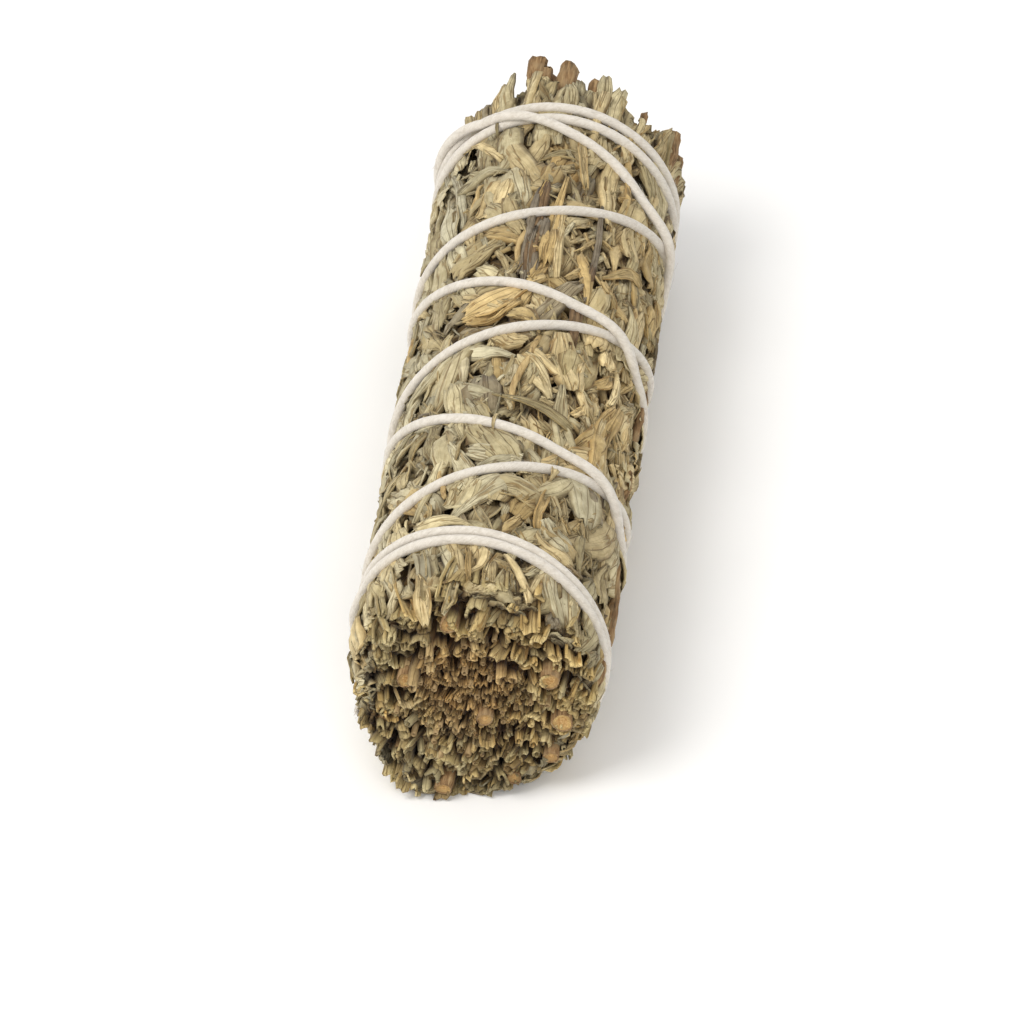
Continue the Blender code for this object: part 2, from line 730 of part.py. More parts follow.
def stand_on_middle(objects):
    """Moves everything so that the origin lies under the middle of the whole bunch, on the surface."""
    corners = [vertex.co for obj in objects for vertex in obj.data.vertices]
    shift = Vector([-(min(c[i] for c in corners) + max(c[i] for c in corners)) / 2 for i in range(3)])
    shift.z = -min(c.z for c in corners)
    for obj in objects:
        obj.data.transform(Matrix.Translation(shift))


def main():
    for old in list(bpy.data.objects):
        bpy.data.objects.remove(old)
    bunch = new_collection("sage bunch")
    route = string_route()
    leaf_finish = material("dried sage leaves", LEAF_COLOUR, 0.9)
    stem_finish = material("woody stems", STEM_COLOUR, 0.8)
    string_finish = material("cotton string", STRING_COLOUR, 0.95)
    paint(heart_leaves(bunch), leaf_finish)
    paint(stem_with_twig("sprig_heart_stem", "heart", 0, 8, 0, bunch), stem_finish)
    for number in range(1, OUTER_SPRIGS + 1):
        paint(outer_leaves(number, route, bunch), leaf_finish)
        paint(stem_with_twig(f"sprig_{number}_stem", number, 0, 8, 0, bunch), stem_finish)
    paint(wound_string(bunch), string_finish)
    stand_on_middle(bunch.objects)


main()
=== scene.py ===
"""Visual model of a tied sage bunch: dried crumpled leaves, woody stems and twigs, and soft cotton string."""

import math
import random

import bmesh
import bpy
import numpy as np
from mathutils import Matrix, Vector, noise


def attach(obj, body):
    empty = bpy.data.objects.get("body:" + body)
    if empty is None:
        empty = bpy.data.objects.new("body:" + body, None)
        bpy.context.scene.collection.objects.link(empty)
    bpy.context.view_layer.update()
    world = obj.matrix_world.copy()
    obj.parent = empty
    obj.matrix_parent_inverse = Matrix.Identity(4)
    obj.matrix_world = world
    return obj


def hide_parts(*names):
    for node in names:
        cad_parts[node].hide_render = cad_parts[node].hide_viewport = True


MM = 0.001

# The bunch, in mm: as in the part, but for how far some stems reach at the ends
LENGTH = 100
AXIS_HEIGHT = 14.5
SHIFT = np.array((0.0569, -1.6528, 0.0))
OUTER_SPRIGS = 6
OUTER_RADIUS = 16
LEAF_SEAT = 15.8
LEAF_LIMIT = 16.1
LEAF_FLOOR = 0.45
BLANK_LENGTH = 10
GOLDEN_TURN = 2.399963
STRING_RADIUS = 0.65
STRING_SEAT = 15.75
STRING_FLOOR = 0.74
STRING_BRIDGE = 6.0
YARN_SIDES = 14
YARN_SPIN = 0.18
STEM_SIDES = 14
KNOT_ANGLE = math.radians(215)
STRING_START = -38.5
STRING_END = -40.1
KNOT_ALONG = (STRING_START + STRING_END) / 2
TURNS = (  # where each turn lies along the bunch at its left, top, right and underside
    (-36.4, -39.1, -42.9, -38.3),
    (-33.2, -26.5, -18.5, -12.0),
    (-5.5, 1.6, 11.0, 16.5),
    (21.3, 25.3, 35.0, 40.4),
    (43.4, 45.1, 43.6, 44.6),
    (46.2, 47.4, 46.4, 47.2),
    (48.0, 43.2, 31.0, 24.0),
    (16.5, 10.0, 3.0, -3.0),
    (-9.0, -18.2, -24.5, -31.0),
    (-37.6, -40.7, -44.5, -42.2),
)
STEMS = {  # thickness, near end (degrees, mm), far end (degrees, mm), how far it stands out; then its twig
    "heart": ((1.0, (311, 2.6), (120, 2.2), 3.9, 2.2), (0.7, (150, 3.2), "near", 1.4)),
    "1": ((1.25, (24, 10.6), (40, 12.2), 3.0, 3.4), (0.85, (18, 12.8), "far", 4.6)),
    "2": ((1.15, (104, 12.0), (84, 12.9), 2.2, 6.2), (1.2, (101, 12.8), "far", 7.2)),
    "3": ((1.2, (164, 8.6), (150, 11.0), 2.5, 1.6), (0.8, (136, 12.4), "far", 0.8)),
    "4": ((0.95, (224, 12.2), (212, 11.2), 3.6, 2.0), (0.75, (205, 12.6), "near", 2.0)),
    "5": ((1.1, (255, 13.0), (272, 10.4), 5.6, 2.2), (0.9, (295, 12.7), "near", 3.8)),
    "6": ((1.35, (345, 11.6), (331, 10.8), 2.3, 2.6), (0.95, (320, 12.9), "near", 3.0)),
}
FAR_RIM = (  # how far the leaves reach at the far end, all the way round: degrees, mm
    (-90, 52.0), (8, 53.0), (28, 51.8), (43, 49.4), (56, 51.4),
    (90, 53.2), (112, 53.2), (137, 49.6), (180, 49.4), (270, 52.0),
)

# Leaf colours, linear
PALE_SAGE = (0.64, 0.58, 0.39)
SAGE = (0.575, 0.50, 0.305)
GREY_SAGE = (0.51, 0.47, 0.33)
STRAW = (0.62, 0.50, 0.272)
OCHRE = (0.60, 0.435, 0.19)
OLIVE = (0.40, 0.33, 0.175)
WEATHERED = (0.25, 0.208, 0.148)
BROWN = (0.22, 0.14, 0.068)
NEAR_MIDDLE = np.array((0.46, 0.285, 0.11))
FAR_MIDDLE = np.array((0.40, 0.26, 0.115))
COLOUR_PATCHES = (
    # degrees, mm along, reach in mm, how much more ochre (below zero: greyer), and how much lighter (partly
    # the leaves' own tone, partly painted shade)
    (104, 37, 7, 1.4, -0.1), (80, 20, 7, 1.3, 0), (103, 4, 8, 1.1, 0.05), (44, -14, 9, 1.4, 0.05),
    (40, 32, 9, 1.2, 0.12), (62, 11, 6, 0.8, 0.08), (72, -30, 7, 0.5, 0), (145, 33, 12, -1.4, 0),
    (140, 6, 10, -1.2, -0.05), (120, -16, 9, -0.9, -0.04), (95, -22, 7, -0.6, 0), (72, 4, 10, 0.2, 0.16),
    (42, 4, 10, 0.3, 0.14), (24, -6, 10, 0.2, 0.16), (62, -12, 7, 0, 0.1), (38, -37, 10, 0.3, -0.14),
    (104, 28, 8, 0, -0.14), (152, -34, 11, 0, 0.12),
)

# Painted shade: how much of a leaf's colour is left deep in a gap, and how much less of it deep in an end
SHADED_GAP_SHARE = np.array((0.30, 0.205, 0.09))
SHADE_DEEPER_AT_END = np.array((-0.18, -0.145, -0.075))

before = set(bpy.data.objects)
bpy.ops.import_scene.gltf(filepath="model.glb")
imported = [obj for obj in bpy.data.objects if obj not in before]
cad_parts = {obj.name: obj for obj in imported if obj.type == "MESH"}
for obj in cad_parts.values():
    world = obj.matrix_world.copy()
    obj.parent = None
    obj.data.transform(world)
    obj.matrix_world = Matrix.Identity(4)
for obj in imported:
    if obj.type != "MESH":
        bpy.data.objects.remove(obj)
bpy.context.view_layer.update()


def smooth_step(low, high, value):
    """0 below low, 1 above high, with a smooth rise between."""
    share = np.clip((np.asarray(value, float) - low) / (high - low), 0, 1)
    return share * share * (3 - 2 * share)


def place(radius, angle, along):
    """Points of the bunch in mm, from their distance to the axis, angle round it and place along it."""
    up = AXIS_HEIGHT + radius * np.sin(angle)
    return np.stack(np.broadcast_arrays(radius * np.cos(angle), along, up), -1) + SHIFT


def turned(first, second, angle):
    """Two coordinates turned by an angle."""
    return first * np.cos(angle) - second * np.sin(angle), first * np.sin(angle) + second * np.cos(angle)


def angle_between(angle, other):
    """How far one angle is turned from another, by the shorter way."""
    return (angle - other + math.pi) % (2 * math.pi) - math.pi


# The string's route


def string_marks():
    """Angle and place along the bunch of the points that the string goes through."""
    marks = [(KNOT_ANGLE, STRING_START)]
    angle = math.pi
    for turn in TURNS:
        for along in turn:
            marks.append((angle, along))
            angle -= math.pi / 2
    marks.append((KNOT_ANGLE - 2 * math.pi * len(TURNS), STRING_END))
    return np.array(marks)


def string_stations(step):
    """Angle and place along the bunch at even angles, on a smooth curve through the marks."""
    marks = string_marks()
    angles, along = marks[:, 0], marks[:, 1]
    before = np.concatenate((angles[:1], angles[:-1]))
    after = np.concatenate((angles[1:], angles[-1:]))
    low = np.concatenate((along[:1], along[:-1]))
    high = np.concatenate((along[1:], along[-1:]))
    slopes = (high - low) / (before - after)
    where = np.arange(angles[0], angles[-1], -step)
    index = np.clip(np.searchsorted(-angles, -where, side="right") - 1, 0, len(angles) - 2)
    span = angles[index] - angles[index + 1]
    t = (angles[index] - where) / span
    curve = (
        (2 * t**3 - 3 * t**2 + 1) * along[index]
        + (t**3 - 2 * t**2 + t) * span * slopes[index]
        + (3 * t**2 - 2 * t**3) * along[index + 1]
        + (t**3 - t**2) * span * slopes[index + 1]
    )
    return np.stack((where, curve), -1)


def string_lifts(stations, touch):
    """How far each station stands up where a later turn of string rides over an earlier one."""
    step = np.hypot(*((stations[1] - stations[0]) * (STRING_SEAT, 1)))
    turn = angle_between(stations[:, None, 0], stations[None, :, 0])
    apart = np.hypot(turn * STRING_SEAT, stations[:, None, 1] - stations[None, :, 1])
    order = np.arange(len(stations))
    same_stretch = order[:, None] - order[None, :] < 0.75 * 2 * math.pi * STRING_SEAT / step
    rise = np.sqrt(np.maximum(touch**2 - apart**2, 0))
    rise[same_stretch] = 0
    reach = int(STRING_BRIDGE / step)
    fall = 1 - smooth_step(0, STRING_BRIDGE, np.abs(np.arange(-reach, reach + 1)) * step)
    lifts = np.zeros(len(stations))
    for _ in range(3):
        needed = np.where(rise > 0, rise + lifts[None, :], 0).max(axis=1)
        padded = np.pad(needed, reach)
        lifts = np.max([padded[k : k + len(stations)] * fall[k] for k in range(2 * reach + 1)], axis=0)
    return lifts


def string_path(step=math.radians(2.2)):
    """The string's middle line in mm, seated in the leaves, riding over itself and flat underneath."""
    stations = string_stations(step)
    lifts = string_lifts(stations, 2 * STRING_RADIUS - 0.06)
    points = place(STRING_SEAT + lifts, stations[:, 0], stations[:, 1])
    above = points[:, 2] - STRING_FLOOR
    points[:, 2] = STRING_FLOOR + (above + np.hypot(above, 0.5)) / 2
    return points


def tail_path(side):
    """One of the string's two short ends, lying along the leaves from the knot: side is -1 or 1."""
    drift = 0.5 if side < 0 else 0.9
    step = np.linspace(0, 5, 26)
    height = np.interp(step, range(6), (0.85, 1.25, 1.35, 1.0, 0.45, 0.1))
    angle = KNOT_ANGLE + (0.6 + drift * 0.84 * step + 0.2 * np.sin(1.7 * step)) * side / OUTER_RADIUS
    return place(STRING_SEAT + height, angle, KNOT_ALONG + side * (0.9 + 1.7 * step))


# How the string presses the leaves down

CELL = 0.25
HALF_MAP = 60
AROUND_CELLS = round(2 * math.pi * STRING_SEAT / CELL)
ALONG_CELLS = round(2 * HALF_MAP / CELL)
PRESSED_REACH = 3.0


def round_axis(points):
    """Angle, place along the bunch and radius of points in mm."""
    across = points[..., 0] - SHIFT[0]
    up = points[..., 2] - AXIS_HEIGHT
    return np.arctan2(up, across), points[..., 1] - SHIFT[1], np.hypot(across, up)


def surface_cells(angle, along):
    """The cell of the bunch's surface that each point lies over."""
    column = (angle % (2 * math.pi) / (2 * math.pi) * AROUND_CELLS).astype(int) % AROUND_CELLS
    return column, np.clip(((along + HALF_MAP) / CELL).astype(int), 0, ALONG_CELLS - 1)


def string_press_map(route):
    """For each cell of the bunch's surface, the distance to the string and the string's own radius."""
    near = np.full((AROUND_CELLS, ALONG_CELLS), 9.0)
    seat = np.full((AROUND_CELLS, ALONG_CELLS), STRING_SEAT)
    window = np.arange(-20, 21)
    apart = CELL * np.hypot(window[:, None], window[None, :])
    for angle, along, radius in zip(*round_axis(route)):
        column, row = surface_cells(angle, along)
        rows = np.clip(row + window, 0, ALONG_CELLS - 1)
        patch = np.ix_((column + window) % AROUND_CELLS, rows)
        closer = apart < near[patch]
        near[patch] = np.where(closer, apart, near[patch])
        seat[patch] = np.where(closer, min(radius, STRING_SEAT), seat[patch])
    return near, seat


def pressed(points, near, seat):
    """Leaf points kept within the bunch, pushed down beside the string and flattened underneath."""
    angle, along, radius = round_axis(points)
    radius = np.where(radius > LEAF_LIMIT, LEAF_LIMIT + 0.4 * (radius - LEAF_LIMIT), radius)
    cells = surface_cells(angle, along)
    gap = near[cells]
    groove = seat[cells] - 0.55 + 1.5 * smooth_step(0.1, PRESSED_REACH, gap)
    pushed = (gap <= PRESSED_REACH) & (radius > groove)
    radius = np.where(pushed, groove + 0.14 * (radius - groove), radius)
    past = np.maximum(np.abs(along) - 45, 0) / 8
    rim = 1.3 * np.maximum(0, -np.cos(angle)) ** 2 + 1.7 * np.maximum(0, np.cos(angle + 0.7)) ** 2
    draw_in = np.where(along < 0, 0.35 + 0.95 * np.sin(angle) + rim, -0.75 * np.cos(angle - 0.7))
    radius = radius - draw_in * past**2 * smooth_step(5, 15, radius)
    points = place(radius, angle, along)
    below = LEAF_FLOOR - points[..., 2]
    points[..., 2] = np.where(below > 0, LEAF_FLOOR - 0.3 * np.tanh(below / 1.2), points[..., 2])
    return points


# Cells for the shade between the leaves: round the side by the radian, and across and along in mm
SHADE_CELL = 0.8
CELLS_PER_RADIAN = 19.4
SHADE_AROUND = 121
SHADE_ALONG = 150
SHADE_ACROSS = 50
HALF_ACROSS = 20


def highest(value, cells, shape):
    """The greatest value in each cell, smoothed over the cells round it."""
    top = np.full(shape, value.min())
    np.maximum.at(top, cells, value)
    return sum(np.roll(top, (i, j), (0, 1)) for i in (-1, 0, 1) for j in (-1, 0, 1)) / 9


def openness(points):
    """How open each point lies, from 0 deep in a gap to 1 on the side or on a cut end: the leaves' painted
    shade follows it.
    """
    angle, along, radius = round_axis(points)
    column = (angle % (2 * math.pi) * CELLS_PER_RADIAN).astype(int) % SHADE_AROUND
    cells = (column, np.clip((along + HALF_MAP) / SHADE_CELL, 0, SHADE_ALONG - 1).astype(int))
    top = highest(radius, cells, (SHADE_AROUND, SHADE_ALONG))
    open_share = 1 - smooth_step(-0.1, 1.15, top[cells] - radius)
    flat = np.stack((radius * np.cos(angle), radius * np.sin(angle)))
    cells = tuple(np.clip((flat + HALF_ACROSS) / SHADE_CELL, 0, SHADE_ACROSS - 1).astype(int))
    for end in (-1, 1):
        reach = end * along
        top = highest(np.maximum(reach, 44), cells, (SHADE_ACROSS, SHADE_ACROSS))
        open_share = np.maximum(open_share, 1 - smooth_step(-0.3, 1.6, top[cells] - reach))
    return open_share


# Modelling by hand


def choose(obj, test):
    """In edit mode, selects only the vertices whose spot on the flat blank passes the test."""
    bm = bmesh.from_edit_mesh(obj.data)
    blade = bm.verts.layers.float_vector["blade"]
    bpy.ops.mesh.select_all(action="DESELECT")
    for vertex in bm.verts:
        vertex.select = test(vertex[blade])
    bm.select_flush_mode()
    bmesh.update_edit_mesh(obj.data)


def start_piece(name):
    """Names the object that was just added, and its mesh."""
    obj = bpy.context.active_object
    obj.name = name
    obj.data.name = name
    return obj


def make_piece(name, points, faces, **attributes):
    """A smooth object from points in mm and faces, with a colour or a vector stored at each point."""
    mesh = bpy.data.meshes.new(name)
    mesh.from_pydata((points * MM).tolist(), [], faces)
    for key, values in attributes.items():
        kind, field = ("FLOAT_COLOR", "color") if values.shape[1] == 4 else ("FLOAT_VECTOR", "vector")
        attribute = mesh.attributes.new(key, kind, "POINT")
        attribute.data.foreach_set(field, values.astype(np.float32).ravel())
    mesh.polygons.foreach_set("use_smooth", [True] * len(mesh.polygons))
    obj = bpy.data.objects.new(name, mesh)
    bpy.context.scene.collection.objects.link(obj)
    return obj


def leaf_blank(section, outline, rows, sway, depth, teeth, twist, wave, thick, seed):
    """A leaf in mm along +Y. Its columns are moved to the cross-section, then its rows to the outline."""
    bpy.ops.object.select_all(action="DESELECT")
    bpy.ops.mesh.primitive_grid_add(x_subdivisions=6, y_subdivisions=rows, size=2)
    obj = start_piece("leaf_blank")
    flat = np.zeros(len(obj.data.vertices) * 3)
    obj.data.vertices.foreach_get("co", flat)
    spread = flat.reshape(-1, 3)
    spread[:, 1] = (spread[:, 1] + 1) / 2
    blade = obj.data.attributes.new("blade", "FLOAT_VECTOR", "POINT")
    blade.data.foreach_set("vector", spread.ravel())
    bpy.ops.object.mode_set(mode="EDIT")
    columns = [-1 + i / 3 for i in range(7)]
    for column, (x, z) in zip(columns, section):
        choose(obj, lambda spot, column=column: abs(spot.x - column) < 0.1)
        bpy.ops.transform.translate(value=(x - column, 0, z))
    for i in range(rows + 1):
        share = i / rows
        choose(obj, lambda spot, share=share: abs(spot.y - share) < 0.005)
        width = np.interp(share * (len(outline) - 1), range(len(outline)), outline)
        middle = (0, -1 + 2 * share, 0)
        bpy.ops.transform.resize(value=(width, 1, width * depth), center_override=middle)
        bpy.ops.transform.rotate(value=twist * (share - 0.5), orient_axis="Y", center_override=middle)
        slide = (sway * math.sin(math.pi * share), 0, wave * math.sin(2.3 * math.pi * share + seed))
        bpy.ops.transform.translate(value=slide)
    for column, pull in zip(columns, teeth):
        choose(obj, lambda spot, column=column: spot.y > 0.99 and abs(spot.x - column) < 0.1)
        bpy.ops.transform.translate(value=(0, pull * 2 / BLANK_LENGTH, 0))
    bpy.ops.mesh.select_all(action="SELECT")
    bpy.ops.transform.translate(value=(0, 1, 0))
    bpy.ops.transform.resize(value=(1, BLANK_LENGTH / 2, 1), center_override=(0, 0, 0))
    bpy.ops.transform.vertex_random(offset=0.16, seed=seed + 1)
    bpy.ops.object.mode_set(mode="OBJECT")
    solid = obj.modifiers.new("thickness", "SOLIDIFY")
    solid.thickness = thick
    solid.offset = 0
    bpy.ops.object.modifier_apply(modifier=solid.name)
    return obj


def put_away(obj):
    """Keeps a blank's points, faces and blade places, and removes its object."""
    mesh = obj.data
    points = np.zeros(len(mesh.vertices) * 3)
    mesh.vertices.foreach_get("co", points)
    blade = np.zeros(len(mesh.vertices) * 3)
    mesh.attributes["blade"].data.foreach_get("vector", blade)
    faces = [tuple(p.vertices) for p in mesh.polygons]
    bpy.data.objects.remove(obj)
    return points.reshape(-1, 3), faces, blade.reshape(-1, 3)


# Cross-sections of leaves, as seven points in half widths
DOMED = ((-0.8, -0.6), (-0.74, -0.12), (-0.42, 0.2), (0, 0.3), (0.42, 0.2), (0.74, -0.12), (0.8, -0.6))
TWO_RIDGED = ((-0.88, -0.5), (-0.7, 0.08), (-0.4, 0.22), (0, -0.22), (0.4, 0.24), (0.68, 0.1), (0.9, -0.5))
THREE_RIDGED = (
    (-1, -0.4), (-0.7, 0.2), (-0.42, -0.12), (-0.05, 0.26),
    (0.25, -0.1), (0.62, 0.2), (0.92, -0.42),
)
GUTTER = ((-0.72, 0.5), (-0.6, 0.12), (-0.3, -0.16), (0, -0.22), (0.3, -0.14), (0.58, 0.14), (0.8, 0.46))
FOLDED = ((-0.3, 0.9), (-0.24, 0.5), (-0.14, 0.05), (0, -0.2), (0.16, 0.08), (0.3, 0.5), (0.42, 0.85))
WAVED = ((-0.9, -0.4), (-0.66, 0.16), (-0.34, 0.3), (0, 0.02), (0.32, -0.24), (0.62, -0.08), (0.86, 0.3))
ONE_CURL = (
    (-0.3, -0.34), (-0.62, -0.1), (-0.5, 0.26), (-0.1, 0.26),
    (0.32, 0.1), (0.66, -0.04), (0.92, -0.34),
)
ROLLED = ((-0.1, -0.46), (-0.44, -0.2), (-0.42, 0.22), (0, 0.44), (0.42, 0.22), (0.44, -0.2), (0.16, -0.42))
SPIRAL = (
    (0.06, -0.1), (-0.26, -0.12), (-0.3, 0.24), (0.08, 0.42),
    (0.46, 0.16), (0.36, -0.36), (-0.12, -0.5),
)


def side_leaf_kinds():
    """The leaves that cover the side: lobed wedges, strands, rolled, ridged and crumpled ones."""
    wedge = (0.4, 0.7, 1.15, 1.65, 2.1, 2.2, 1.6)
    slim_wedge = (0.35, 0.6, 0.85, 1.1, 1.35, 1.4, 1.0)
    strand = (0.55, 0.8, 0.95, 1.0, 0.95, 0.85, 0.6)
    strap = (0.8, 1.15, 1.4, 1.55, 1.5, 1.35, 1.0)
    broad = (1.2, 1.9, 2.4, 2.6, 2.5, 2.3, 1.7)
    lobes = (-0.8, -0.1, -0.5, 0.25, -0.6, 0.0, -0.7)
    torn = (-0.6, 0.1, -0.15, 0.2, -0.5, 0.0, -0.7)
    round_tip = (-0.9, -0.25, 0.1, 0.25, 0.1, -0.25, -0.8)
    recipes = (
        # cross-section, outline, sway, depth, teeth, twist, wave
        (DOMED, wedge, 0.3, 0.6, lobes, 0.2, 0.4),
        (TWO_RIDGED, wedge, -0.4, 0.75, lobes, -0.3, 0.35),
        (WAVED, wedge, 0.2, 0.7, lobes, 0.4, 0.45),
        (DOMED, strand, 0.5, 0.9, round_tip, 0.6, 0.2),
        (ROLLED, strand, -0.5, 1.0, round_tip, -0.7, 0.25),
        (ONE_CURL, strap, 0.5, 0.7, torn, 0.6, 0.2),
        (TWO_RIDGED, strap, -0.4, 0.8, round_tip, -0.5, 0.3),
        (SPIRAL, strap, 0.4, 0.7, torn, 0.5, 0.2),
        (THREE_RIDGED, broad, 0.2, 0.7, torn, 0.2, 0.5),
        (WAVED, broad, -0.3, 0.65, lobes, -0.2, 0.5),
        (GUTTER, slim_wedge, 0.3, 0.6, lobes, 0.6, 0.2),
        (DOMED, slim_wedge, -0.5, 0.8, lobes, -0.7, 0.3),
        (FOLDED, strap, 0.3, 0.4, torn, 0.7, 0.2),
        (THREE_RIDGED, strap, 0.6, 0.75, torn, -0.8, 0.3),
    )
    return [
        put_away(leaf_blank(section, outline, 6, sway, depth, teeth, twist, wave, 0.22, seed))
        for seed, (section, outline, sway, depth, teeth, twist, wave) in enumerate(recipes)
    ]


def end_leaf_kinds():
    """The trimmed leaves at the ends: folded and rolled lengthwise and cut across."""
    recipes = (
        # cross-section, half width, depth, teeth
        (FOLDED, 1.3, 0.8, (-0.3, 0.1, 0.2, -0.2, 0.1, 0.2, -0.2)),
        (WAVED, 1.2, 1.0, (0.1, -0.2, 0.2, -0.1, 0.1, -0.1, -0.3)),
        (ROLLED, 1.45, 0.8, (0.1, -0.1, -0.2, 0.1, 0.1, -0.1, 0.2)),
        (SPIRAL, 1.7, 0.8, (0.2, 0.1, -0.2, -0.1, 0.1, 0.2, -0.2)),
        (GUTTER, 1.35, 1.1, (-0.2, 0.1, -0.2, 0.1, -0.1, 0.1, 0.0)),
        (ONE_CURL, 1.4, 1.1, (0.2, -0.1, -0.2, 0.1, -0.2, 0.1, -0.3)),
        (TWO_RIDGED, 1.45, 1.0, (-0.2, 0.1, -0.2, 0.1, -0.2, 0.1, -0.2)),
        (DOMED, 1.1, 1.1, (-0.2, 0.1, 0.1, -0.1, 0.2, 0.0, -0.2)),
    )
    kinds = []
    for seed, (section, half, depth, teeth) in enumerate(recipes):
        outline = (half * 0.7, half * 0.9, half)
        kinds.append(put_away(leaf_blank(section, outline, 4, 0, depth, teeth, 0.3, 0.1, 0.3, seed)))
    return kinds


# Laying the leaves


class LeafHeap:
    """Collects the copies of leaves that make one piece, with their colours."""

    def __init__(self):
        self.points = []
        self.free = []
        self.faces = []
        self.tints = []
        self.blades = []
        self.count = 0

    def add(self, kind, points, tint, number, free=False, mirrored=True):
        """Adds a leaf. Its faces are turned outwards where laying it round the axis has mirrored it."""
        _, faces, blade = kind
        order = -1 if mirrored else 1
        self.faces.extend(tuple(i + self.count for i in face[::order]) for face in faces)
        self.points.append(points)
        self.free.append(np.full(len(points), free))
        self.tints.append(np.broadcast_to(tint, points.shape))
        marked = blade.copy()
        marked[:, 2] = number
        self.blades.append(marked)
        self.count += len(points)

    def make(self, name, points, light):
        """One object from all the leaves of the heap, with painted shade: darker where they lie deep."""
        # Painted shade: the colours are darkened where the leaves lie deep in gaps, more so at the ends.
        at_end = smooth_step(47.5, 50.5, np.abs(round_axis(points)[1]))[:, None]
        deep = SHADED_GAP_SHARE + SHADE_DEEPER_AT_END * at_end
        colours = np.concatenate(self.tints) * (deep + (1.03 - deep) * light[:, None])
        opaque = np.insert(colours, 3, 1, axis=1)
        return make_piece(name, points, self.faces, tint=opaque, blade=np.concatenate(self.blades))


def patchiness(angle, along, phase):
    """A smooth wandering value from about -1 to 1 over the bunch, so that like colours lie together."""
    return (
        math.sin(2 * angle + along / 9 + phase)
        + math.sin(3 * angle - along / 6.5 + 2.3 * phase)
        + 0.7 * math.sin(5 * angle + along / 4.1 + 4.1 * phase)
    ) / 2.2


def local_colour(angle, along):
    """How much more ochre, or greyer, the leaves are at this spot, and how much lighter or darker, partly as
    painted shade.
    """
    warmth = 0
    light = 1
    for degrees, middle, reach, strength, lighter in COLOUR_PATCHES:
        turn = angle_between(angle, math.radians(degrees)) * STRING_SEAT
        near = math.exp(-(turn**2 + (along - middle) ** 2) / reach**2)
        warmth += strength * near
        light += lighter * near
    return warmth, light


def leaf_tint(draw, angle, along, shade):
    """A leaf's colour: greener on the left, ochre in patches on top and browner on the right, times a local
    lightness that is partly painted shade, and times the given shade, which is painted shade on the lower
    side layers.
    """
    side = math.cos(angle)
    warmth, light = local_colour(angle, along)
    ochre_patch = patchiness(angle, along, 1.0)
    old_patch = patchiness(angle, along, 4.0)
    weights = (
        max(0.08, 0.42 - 0.4 * side - 0.2 * warmth),
        max(0.4, 1.0 - 0.3 * warmth),
        max(0.05, 0.5 - 0.65 * side - 0.6 * warmth),
        max(0.15, 0.8 + 0.3 * side + 0.4 * ochre_patch + 0.5 * warmth),
        max(0.03, 0.16 + 0.12 * side + 0.4 * ochre_patch + 1.1 * warmth),
        0.38,
        max(0.02, 0.06 + 0.08 * side + 0.2 * old_patch),
        max(0.02, 0.05 + 0.07 * side + 0.1 * old_patch),
    )
    colours = (PALE_SAGE, SAGE, GREY_SAGE, STRAW, OCHRE, OLIVE, WEATHERED, BROWN)
    colour = np.array(draw.choices(colours, weights)[0])
    other = np.array(draw.choices((SAGE, STRAW, OLIVE))[0])
    colour = colour + (other - colour) * draw.uniform(0.1, 0.5)
    return colour * draw.uniform(0.82, 1.06) * shade * light


def lay_on_side(points, draw, angle, along, heading, base, lift, size, flat, roll, arch):
    """One leaf laid on the bunch: in mm, from the blank's own shape to its place round the axis."""
    x, y, z = (points * (size, draw.uniform(0.7, 1.15) * size, size * flat)).T
    length = BLANK_LENGTH * size
    share = y / length
    x, z = turned(x, z, roll * (1 + 0.5 * (share - 0.5)))
    z = z + arch * 4 * share * (1 - share)
    x = x + draw.gauss(0, 0.5) * np.sin(math.pi * share) + draw.gauss(0, 0.22) * np.sin(2 * math.pi * share)
    round_bunch, lengthwise = turned(x, y - length / 2, -heading)
    radius = np.maximum(base + z + lift * (share - 0.35), 12.5)
    place_along = along + lengthwise
    trim = end_reach(angle, 15, math.copysign(1, along)) + draw.uniform(-1.2, 0.9)
    over = np.maximum(np.abs(place_along) - trim, 0)
    place_along = place_along - np.sign(place_along) * 0.88 * over
    return place(radius, angle + round_bunch / base, place_along)


def sprig_at(angle):
    """The number of the outer sprig that lies at this angle."""
    return int((angle % (2 * math.pi)) / (2 * math.pi) * OUTER_SPRIGS) + 1


def leaf_span(base, tip):
    """A leaf's middle, as an angle and a place along, and its reach round and along the bunch in mm."""
    turn = math.radians(tip[0] - base[0]) * LEAF_SEAT
    return math.radians((base[0] + tip[0]) / 2), (base[1] + tip[1]) / 2, turn, tip[1] - base[1]


def hand_laid_near(angle, along):
    """Whether one of the listed leaves lies across this spot."""
    for _, base, tip, width, _, _ in LAID_BY_HAND:
        middle, middle_along, turn, rise = leaf_span(base, tip)
        length = math.hypot(turn, rise)
        aside, ahead = angle_between(angle, middle) * LEAF_SEAT, along - middle_along
        aside, ahead = (aside * rise - ahead * turn) / length, (aside * turn + ahead * rise) / length
        if abs(aside) < 0.6 + 1.2 * width and abs(ahead) < length / 2:
            return True
    return False


